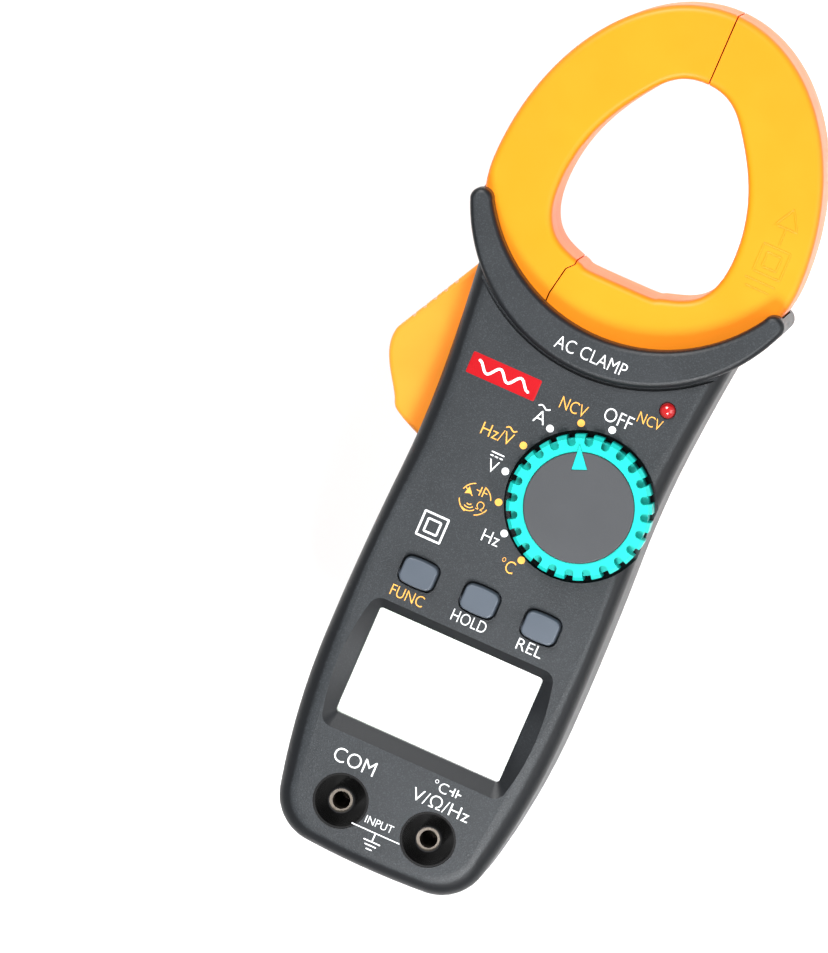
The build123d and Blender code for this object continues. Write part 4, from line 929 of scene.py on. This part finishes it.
    def dial_dots(self) -> None:
        """Eight dots round the dial, white and orange in turn."""
        x, d = (place + shift for place, shift in zip(self.panel.dial, self.dot_shift_mm))
        for index in range(8):
            turn = math.radians(index * self.dot_step_deg)
            across, up = self.dot_ring_mm * math.sin(turn), self.dot_ring_mm * math.cos(turn)
            tone = InkTone.ORANGE if index % 2 else InkTone.WHITE
            self.patch(tone, ring_path(self.panel.at(x - across, d + up), self.dot_mm * MM))

    def alternating_marks(self) -> None:
        """The alternating-current waves over the A and over the V of Hz/V."""
        self.line(InkTone.WHITE, wave_path(self.panel.at(-4.0, 110.9), 2.6 * MM, 0.32 * MM, 1.0))
        self.line(InkTone.ORANGE, wave_path(self.panel.at(-8.7, 103.5), 2.4 * MM, 0.32 * MM, 1.0))

    def direct_mark(self) -> None:
        """The direct-current sign over the V: a line above three dashes."""
        self.straight(InkTone.WHITE, (-10.7, 97.3), (-7.9, 97.3))
        for start in (-10.7, -9.6, -8.5):
            self.straight(InkTone.WHITE, (start, 96.5), (start + 0.5, 96.5))

    def continuity_icon(self) -> None:
        """A ring that holds a diode, a capacitor, sound waves and an ohm sign."""
        x, d = -10.0, 86.0
        at, tone = self.panel.at, InkTone.ORANGE
        for start in (20.0, 110.0, 200.0, 290.0):
            self.line(tone, ring_path(at(x, d), 3.5 * MM, start, 50.0), width=0.26)
        self.line(tone, np.array([at(x - 2.9, d + 1.7), at(x - 0.9, d + 0.5)]), width=0.24)
        self.patch(tone, np.array([at(x - 2.7, d + 0.3), at(x - 1.1, d + 0.9), at(x - 2.2, d + 2.2)]))
        for side in (-0.35, 0.35):
            plate = x + 0.8 + side
            arm = x + 0.8 + side * 3.4
            self.line(tone, np.array([at(plate, d + 3.0), at(plate, d + 1.2)]), width=0.28)
            self.line(tone, np.array([at(plate, d + 2.1), at(arm, d + 2.1)]), width=0.24)
        for radius in (0.7, 1.4, 2.1):
            self.line(tone, ring_path(at(x - 0.9, d - 0.9), radius * MM, -120.0, 80.0), width=0.26)
        self.letter(Word("Ω", x + 1.7, d - 0.9, 1.9, tone), self.panel.face_z)

    def jack_marks(self) -> None:
        """The capacitor sign, the line that brackets the two jacks and the earth sign under it."""
        at, tone = self.panel.at, InkTone.WHITE
        sign_x, earth_x, bracket_d = 12.1, -0.6, 8.7
        for side in (-0.4, 0.4):
            self.line(tone, np.array([at(sign_x + side, 23.4), at(sign_x + side, 25.0)]))
            self.line(tone, np.array([at(sign_x + side, 24.2), at(sign_x + side * 3.2, 24.2)]))
        self.straight(tone, (-6.3, bracket_d), (5.1, bracket_d), 0.26)
        self.straight(tone, (earth_x, bracket_d), (earth_x, 6.6), 0.3)
        for drop, half in ((6.6, 1.9), (5.7, 1.25), (4.8, 0.6)):
            self.straight(tone, (earth_x - half, drop), (earth_x + half, drop), 0.3)

    def double_square(self) -> None:
        """The square within a square that marks double insulation."""
        centre = self.panel.at(-16.2, 76.5)
        for half in (2.8, 1.5):
            loop = rounded_loop(centre, (half * MM, half * MM), 0.15 * MM)
            self.line(InkTone.WHITE, loop, closed=True, width=0.5)

    def badge(self, white: bpy.types.Material) -> None:
        """A plain red plate with a white wave on it.

        Args:
            white: the white print.
        """
        centre = self.panel.at(-15.0, 113.6)
        half, corner, thickness = (8.25 * MM, 2.5 * MM), 0.35 * MM, 0.08 * MM
        red = Moulding("red_badge", srgb(168, 8, 20), roughness=0.4, grain_mm=0.5, grain_depth_mm=0.004,
                       scuffs=0.3, specular=0.2).make()
        plate = Surface()
        base = self.panel.face_z - SINK * MM
        plate.gather(*pad(rounded_loop(centre, half, corner), base, thickness, 0.985))
        plate.piece("badge_plate", red, "case", "red_lens")
        wave = Surface()
        line = wave_path(centre, length=12.5 * MM, swing=1.1 * MM, turns=2.5)
        wave.gather(*stroke(line, 0.62 * MM, base + thickness - 0.002 * MM, INK_RISE * MM))
        wave.piece("badge_wave", white, "case", "white_plastic")


@dataclass
class JawMarks:
    """Marks moulded proud on the fixed jaw: an arrow and a framed square for the conductor's way.

    Attributes:
        panel: the places on the panel.
        x: how far right of the centreline they stand, in millimetres.
        rise_mm: how far they stand proud.
    """

    panel: Panel
    x: float = 28.9
    rise_mm: float = 0.14

    def build(self, material: bpy.types.Material) -> None:
        """Builds the marks.

        Args:
            material: the jaw's own plastic.
        """
        raised = Surface()
        at = self.panel.at
        base = self.panel.jaw_z - SINK * MM

        def bead(path: np.ndarray, width: float, closed: bool = False) -> None:
            """Lays one raised line."""
            raised.gather(*stroke(path, width * MM, base, self.rise_mm * MM, closed))

        for half in (3.2, 1.7):
            bead(rounded_loop(at(self.x, 160.4), (half * MM, half * MM), 0.3 * MM), 0.5, True)
        bead(np.array([at(self.x, 164.6), at(self.x, 168.4)]), 0.5)
        head = np.array([at(self.x - 2.6, 168.4), at(self.x + 2.6, 168.4), at(self.x, 172.9)])
        sides = [np.linspace(head[i], head[(i + 1) % 3], 6, endpoint=False) for i in range(3)]
        bead(np.concatenate(sides), 0.5, True)
        for d, half in ((155.3, 3.4), (153.6, 2.6)):
            bead(np.linspace(at(self.x - 0.6 - half, d), at(self.x - 0.6 + half, d), 3), 0.45)
        raised.piece("jaw_marks", material, "case", "jaw_plastic")


# ---------------------------------------------------------------- the meter


@dataclass
class Workshop:
    """Mixes each finish once and puts it on the CAD nodes.

    Attributes:
        nodes: the CAD nodes by name.
        materials: the material of each finish made so far.
        dressed: the names of the nodes that have their finish.
    """

    nodes: dict[str, bpy.types.Object]
    materials: dict[Any, bpy.types.Material] = field(default_factory=dict)
    dressed: set[str] = field(default_factory=set)

    def material(self, finish: Any) -> bpy.types.Material:
        """Gives a finish's material, made when it is first asked for.

        Args:
            finish: a finish from the lists above.

        Returns:
            Its material.
        """
        if finish not in self.materials:
            self.materials[finish] = finish.make()
        return self.materials[finish]

    def dress(self, finish: Any, *names: str) -> None:
        """Puts one finish on CAD nodes.

        Args:
            finish: the finish.
            names: the nodes that wear it.
        """
        for name in names:
            self.nodes[name].data.materials.clear()
            self.nodes[name].data.materials.append(self.material(finish))
        self.dressed.update(names)
        log.info("%s on %s", finish.name, ", ".join(names))

    def close(self) -> None:
        """Makes sure that no node was left without a finish."""
        bare = sorted(set(self.nodes) - self.dressed)
        if bare:
            raise ValueError(f"no finish for {bare}")


# Finishes that more than one sub-assembly wears
# side is a painted shade: the jaws' sides are coloured a deeper orange than their faces
JAW_PLASTIC = ShellMoulding("jaw_moulding", srgb(249, 141, 14), roughness=0.4, grain_mm=0.5,
                            grain_depth_mm=0.006, clouds=0.025, scuffs=0.35, specular=0.3,
                            side=srgb(248, 118, 8), seam_z=CASE_SEAM * MM, side_grain=1.0,
                            face_from=(0.3, 0.95))
WHITE_NYLON = Moulding("white_nylon", srgb(225, 226, 222), 0.5, grain_mm=0.5, grain_depth_mm=0.006)
BLACK_RESIN = Moulding("black_resin", srgb(28, 28, 28), 0.55, grain_mm=0.25, grain_depth_mm=0.008)
SILICONE = Moulding("silicone", srgb(150, 152, 152), 0.6, grain_mm=0.5, grain_depth_mm=0.008)
WIRE_SKIN = Moulding("wire_skin", srgb(180, 28, 28), 0.42, grain_mm=0.5, grain_depth_mm=0.006)
ZINC_STEEL = Metal("zinc_steel", (0.62, 0.62, 0.63), roughness=0.3, lines=(1.0, 6.0, 1.0))
DRAWN_STEEL = Metal("drawn_steel", (0.55, 0.55, 0.57), roughness=0.25)
BRIGHT_TIN = Metal("bright_tin", (0.74, 0.74, 0.75), roughness=0.22)


@dataclass
class SubAssembly:
    """One sub-assembly of the meter.

    Attributes:
        shop: where its nodes get their finishes.
    """

    shop: Workshop

    def build(self) -> None:
        """Dresses the sub-assembly's nodes."""
        raise NotImplementedError


@dataclass
class CaseShells(SubAssembly):
    """The two halves of the case with their screws."""

    # side is a painted shade: the case's rounded sides and edges are coloured darker than its face
    grain: ShellMoulding = ShellMoulding("grained_case", srgb(41, 44, 47), roughness=0.44, grain_mm=0.36,
                                         grain_depth_mm=0.05, clouds=0.1, specular=0.3,
                                         side=srgb(20, 22, 25), seam_z=CASE_SEAM * MM, side_grain=0.3,
                                         fleck=0.5)

    def build(self) -> None:
        """Dresses the case; the battery door is moulded with the same grain."""
        self.shop.dress(self.grain, "front_case", "rear_case", "battery_door")
        self.shop.dress(ZINC_STEEL, "case_screws", "pcb_screws", "battery_door_screw")


@dataclass
class Jaw(SubAssembly):
    """The jaw halves with their cores and coil, the trigger, the pivot and the spring."""

    trigger: Moulding = Moulding("trigger_moulding", srgb(250, 146, 36), roughness=0.4, grain_mm=0.45,
                                 grain_depth_mm=0.006, clouds=0.04, scuffs=0.4, coat=0.1)
    core: Banded = Banded("core_stack", (0.30, 0.31, 0.33), "Z", pitch_mm=0.7, metallic=0.9,
                          roughness=0.4)
    winding: Banded = Banded("enamelled_winding", srgb(176, 92, 48), "X", pitch_mm=0.35, metallic=0.3,
                             roughness=0.3)

    def build(self) -> None:
        """Dresses the shells, then what they hold."""
        self.shop.dress(JAW_PLASTIC, "fixed_jaw_front_shell", "fixed_jaw_rear_shell",
                        "moving_jaw_front_shell", "moving_jaw_rear_shell")
        self.shop.dress(self.trigger, "trigger")
        self.shop.dress(self.core, "fixed_jaw_core", "moving_jaw_core")
        self.shop.dress(self.winding, "fixed_jaw_winding")
        self.shop.dress(WHITE_NYLON, "fixed_jaw_bobbin")
        self.shop.dress(WIRE_SKIN, "coil_leads")
        self.shop.dress(ZINC_STEEL, "pivot_pin", "trigger_screws")
        self.shop.dress(DRAWN_STEEL, "return_spring")


@dataclass
class Dial(SubAssembly):
    """The function dial, its rotor and its click."""

    knob: Moulding = Moulding("teal_moulding", srgb(16, 184, 174), roughness=0.36, grain_mm=0.4,
                              grain_depth_mm=0.005, clouds=0.05, scuffs=0.4, coat=0.1)
    disc: Moulding = Moulding("dial_disc", srgb(61, 63, 66), roughness=0.52, grain_depth_mm=0.02,
                              clouds=0.05, scuffs=0.4)
    contacts: Metal = Metal("turned_brass", (0.78, 0.57, 0.25), roughness=0.24, lines=(1.0, 1.0, 10.0),
                            tarnish=(0.3, 0.17, 0.06))

    def build(self) -> None:
        """Dresses the dial from the front to the board."""
        self.shop.dress(self.knob, "dial_knob")
        self.shop.dress(self.disc, "dial_cap")
        self.shop.dress(BLACK_RESIN, "dial_rotor")
        self.shop.dress(ZINC_STEEL, "detent_balls")
        self.shop.dress(DRAWN_STEEL, "detent_springs")
        self.shop.dress(self.contacts, "wiper_contacts")


@dataclass
class Keys(SubAssembly):
    """The three keys and the mat that springs them."""

    rubber: Moulding = Moulding("key_rubber", srgb(72, 80, 90), roughness=0.42, grain_mm=0.6,
                                grain_depth_mm=0.006, clouds=0.05, scuffs=0.6, coat=0.05)

    def build(self) -> None:
        """Dresses the keys and their mat."""
        self.shop.dress(self.rubber, "func_button", "hold_button", "rel_button")
        self.shop.dress(SILICONE, "keypad_mat")


@dataclass
class Display(SubAssembly):
    """The window, the liquid-crystal glass, its holder and the voltage lamp."""

    pane: ClearPane = ClearPane("window_pane", (0.93, 0.96, 0.95), alpha=0.10)
    near: Colour = srgb(226, 236, 226)
    far: Colour = srgb(246, 248, 247)
    lens: Colour = srgb(165, 8, 12)

    def build(self) -> None:
        """Dresses the display; its tint drifts from one end of the glass to the other, and the glass is
        given a painted glow.
        """
        low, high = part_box("lcd_glass")
        self.shop.dress(self.pane, "display_window")
        self.shop.dress(DisplayFace("display_face", self.near, self.far, low.x, high.x), "lcd_glass")
        self.shop.dress(WHITE_NYLON, "lcd_holder", "backlight")
        self.shop.dress(SILICONE, "lcd_contact_strips")
        self.shop.dress(LampLens("red_lens", self.lens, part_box("ncv_lamp")[1].z), "ncv_lamp")


@dataclass
class Jacks(SubAssembly):
    """The two shrouded probe jacks."""

    block: Moulding = Moulding("gloss_black", srgb(16, 16, 17), roughness=0.16, grain_mm=0.8,
                               grain_depth_mm=0.002, clouds=0.05, coat=0.4, specular=0.6)
    # painted shade: the sockets' brass is coloured nearly black, for the shade deep inside the jack wells
    socket: Metal = Metal("brass_in_painted_shade", (0.16, 0.14, 0.12), roughness=0.45, lines=(1.0, 1.0, 10.0),
                          tarnish=(0.06, 0.05, 0.04))

    def build(self) -> None:
        """Dresses the block, its sockets and their wires."""
        self.shop.dress(self.block, "terminal_block")
        self.shop.dress(self.socket, "com_socket", "input_socket")
        self.shop.dress(WIRE_SKIN, "jack_leads")


@dataclass
class Electronics(SubAssembly):
    """The circuit board and the parts on it."""

    board: Board = Board("solder_mask", mask=srgb(20, 92, 52), track=srgb(34, 120, 66),
                         pad=srgb(200, 196, 180))
    lacquer: Moulding = Moulding("blue_lacquer", srgb(70, 120, 165), roughness=0.3, grain_mm=0.4,
                                 grain_depth_mm=0.006, clouds=0.1, scuffs=0.2, coat=0.5)

    def build(self) -> None:
        """Dresses the board and its parts."""
        self.shop.dress(self.board, "pcb")
        self.shop.dress(BLACK_RESIN, "buzzer", "meter_chip")
        self.shop.dress(self.lacquer, "input_resistors", "input_thermistor", "trimmers")
        self.shop.dress(BRIGHT_TIN, "quartz_crystal")


@dataclass
class Battery(SubAssembly):
    """The two cells with their contacts and leads."""

    sleeve: Moulding = Moulding("cell_sleeve", srgb(40, 88, 140), roughness=0.25, grain_mm=0.7,
                                grain_depth_mm=0.004, clouds=0.06, scuffs=0.6, coat=0.6)

    def build(self) -> None:
        """Dresses the cells and what touches them."""
        self.shop.dress(self.sleeve, "battery_cells")
        self.shop.dress(BRIGHT_TIN, "battery_contacts")
        self.shop.dress(DRAWN_STEEL, "battery_springs")
        self.shop.dress(WIRE_SKIN, "battery_leads")


# ---------------------------------------------------------------- the stage


@dataclass(frozen=True)
class Softbox:
    """A square light that faces the middle of the meter: its place and size in metres, its watts."""

    name: str
    place: tuple[float, float, float]
    size: float
    power: float


@dataclass
class Studio:
    """The pale floor, soft lights and the camera.

    Attributes:
        panel: the places on the panel.
        turn_deg: how far the meter leans to the right in the view.
        view_way: the direction from the meter to the camera.
        distance: how far the camera stands off, in metres.
        reach: millimetres of focal length for each metre of distance.
        aim: the panel point in the middle of the view, in millimetres.
        drop: how far under the meter's back the floor lies, in metres.
        floor_half: half the floor's side in metres.
        floor_points: points along a side of the floor.
        room: the strength of the light from all round.
        lights: the softboxes.
    """

    panel: Panel
    turn_deg: float = 24.0
    view_way: tuple[float, float, float] = (0.07, 0.12, 0.99)
    distance: float = 2.2
    reach: float = 196.6
    aim: tuple[float, float] = (-24.4, 85.1)
    drop: float = 0.07
    floor_half: float = 3.0
    floor_points: int = 13
    room: float = 0.45
    lights: tuple[Softbox, ...] = (
        Softbox("key", (-0.45, 0.75, 0.85), 0.5, 15.0),
        Softbox("fill", (1.0, 0.2, 0.7), 0.9, 7.0),
        Softbox("sheen", (0.14, -0.25, 0.4), 0.14, 2.8),
    )

    def floor(self) -> None:
        """A wide pale floor, low enough for the open battery door to clear it."""
        side = np.linspace(-self.floor_half, self.floor_half, self.floor_points)
        x, y = np.meshgrid(side, side, indexing="ij")
        points = np.stack([x.ravel(), y.ravel(), np.full(x.size, -self.drop)], axis=1)
        mesh = bpy.data.meshes.new("floor")
        faces = grid_faces(self.floor_points, self.floor_points, False)
        mesh.from_pydata(points.tolist(), [], faces.tolist())
        shader = Shader("pale_floor")
        cloud = shader.noise(300.0, 2.0)
        paint = shader.mix(cloud, (0.86, 0.86, 0.86), (0.88, 0.88, 0.88))
        shader.set(Base_Color=paint, Roughness=cloud * 0.1 + 0.7)
        mesh.materials.append(shader.material)
        made = bpy.data.objects.new("floor", mesh)
        bpy.context.scene.collection.objects.link(made)
        made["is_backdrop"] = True

    def light(self, box: Softbox) -> None:
        """Hangs one softbox.

        Args:
            box: the softbox.
        """
        lamp = bpy.data.lights.new(box.name, "AREA")
        lamp.size = box.size
        lamp.energy = box.power
        made = bpy.data.objects.new(box.name, lamp)
        made.location = box.place
        made.rotation_euler = (-Vector(box.place)).to_track_quat("-Z", "Y").to_euler()
        made.visible_camera = False
        bpy.context.scene.collection.objects.link(made)

    def camera(self) -> None:
        """A long lens that looks down on the panel, turned so that the jaw leans to the right."""
        turn = math.radians(self.turn_deg)
        back = Vector(self.view_way).normalized()
        right = Vector((math.cos(turn), math.sin(turn), 0.0))
        right = (right - right.dot(back) * back).normalized()
        up = back.cross(right)
        aim = Vector((*self.panel.at(*self.aim), self.panel.face_z))
        lens = bpy.data.cameras.new("view")
        lens.sensor_fit = "HORIZONTAL"
        lens.lens = self.reach * self.distance
        made = bpy.data.objects.new("view", lens)
        axes = Matrix((right, up, back)).transposed().to_4x4()
        made.matrix_world = Matrix.Translation(aim + back * self.distance) @ axes
        bpy.context.scene.collection.objects.link(made)
        bpy.context.scene.camera = made

    def build(self) -> None:
        """Sets the stage."""
        self.floor()
        for box in self.lights:
            self.light(box)
        world = bpy.data.worlds.new("room")
        world.use_nodes = True
        background = world.node_tree.nodes["Background"]
        background.inputs["Color"].default_value = (1.0, 1.0, 1.0, 1.0)
        background.inputs["Strength"].default_value = self.room
        bpy.context.scene.world = world
        bpy.context.scene.view_settings.view_transform = "Standard"
        self.camera()


def corners(bounds: tuple) -> list[list[float]]:
    """Gives a box as plain lists of numbers."""
    return [[float(value) for value in corner] for corner in bounds]


def main() -> None:
    """Loads the frame, dresses the meter and sets the stage."""
    logging.basicConfig(level=logging.INFO, format="%(name)s: %(message)s")
    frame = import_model()
    cad_box = corners(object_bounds())
    panel = Panel.from_frame()
    shop = Workshop(frame["nodes"])
    for part in (CaseShells, Jaw, Dial, Keys, Display, Jacks, Electronics, Battery):
        part(shop).build()
    shop.close()
    Legends(panel).print()
    JawMarks(panel).build(shop.material(JAW_PLASTIC))
    Studio(panel).build()
    {"cad": cad_box, "visual": corners(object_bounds())}


if __name__ == "__main__":
    main()
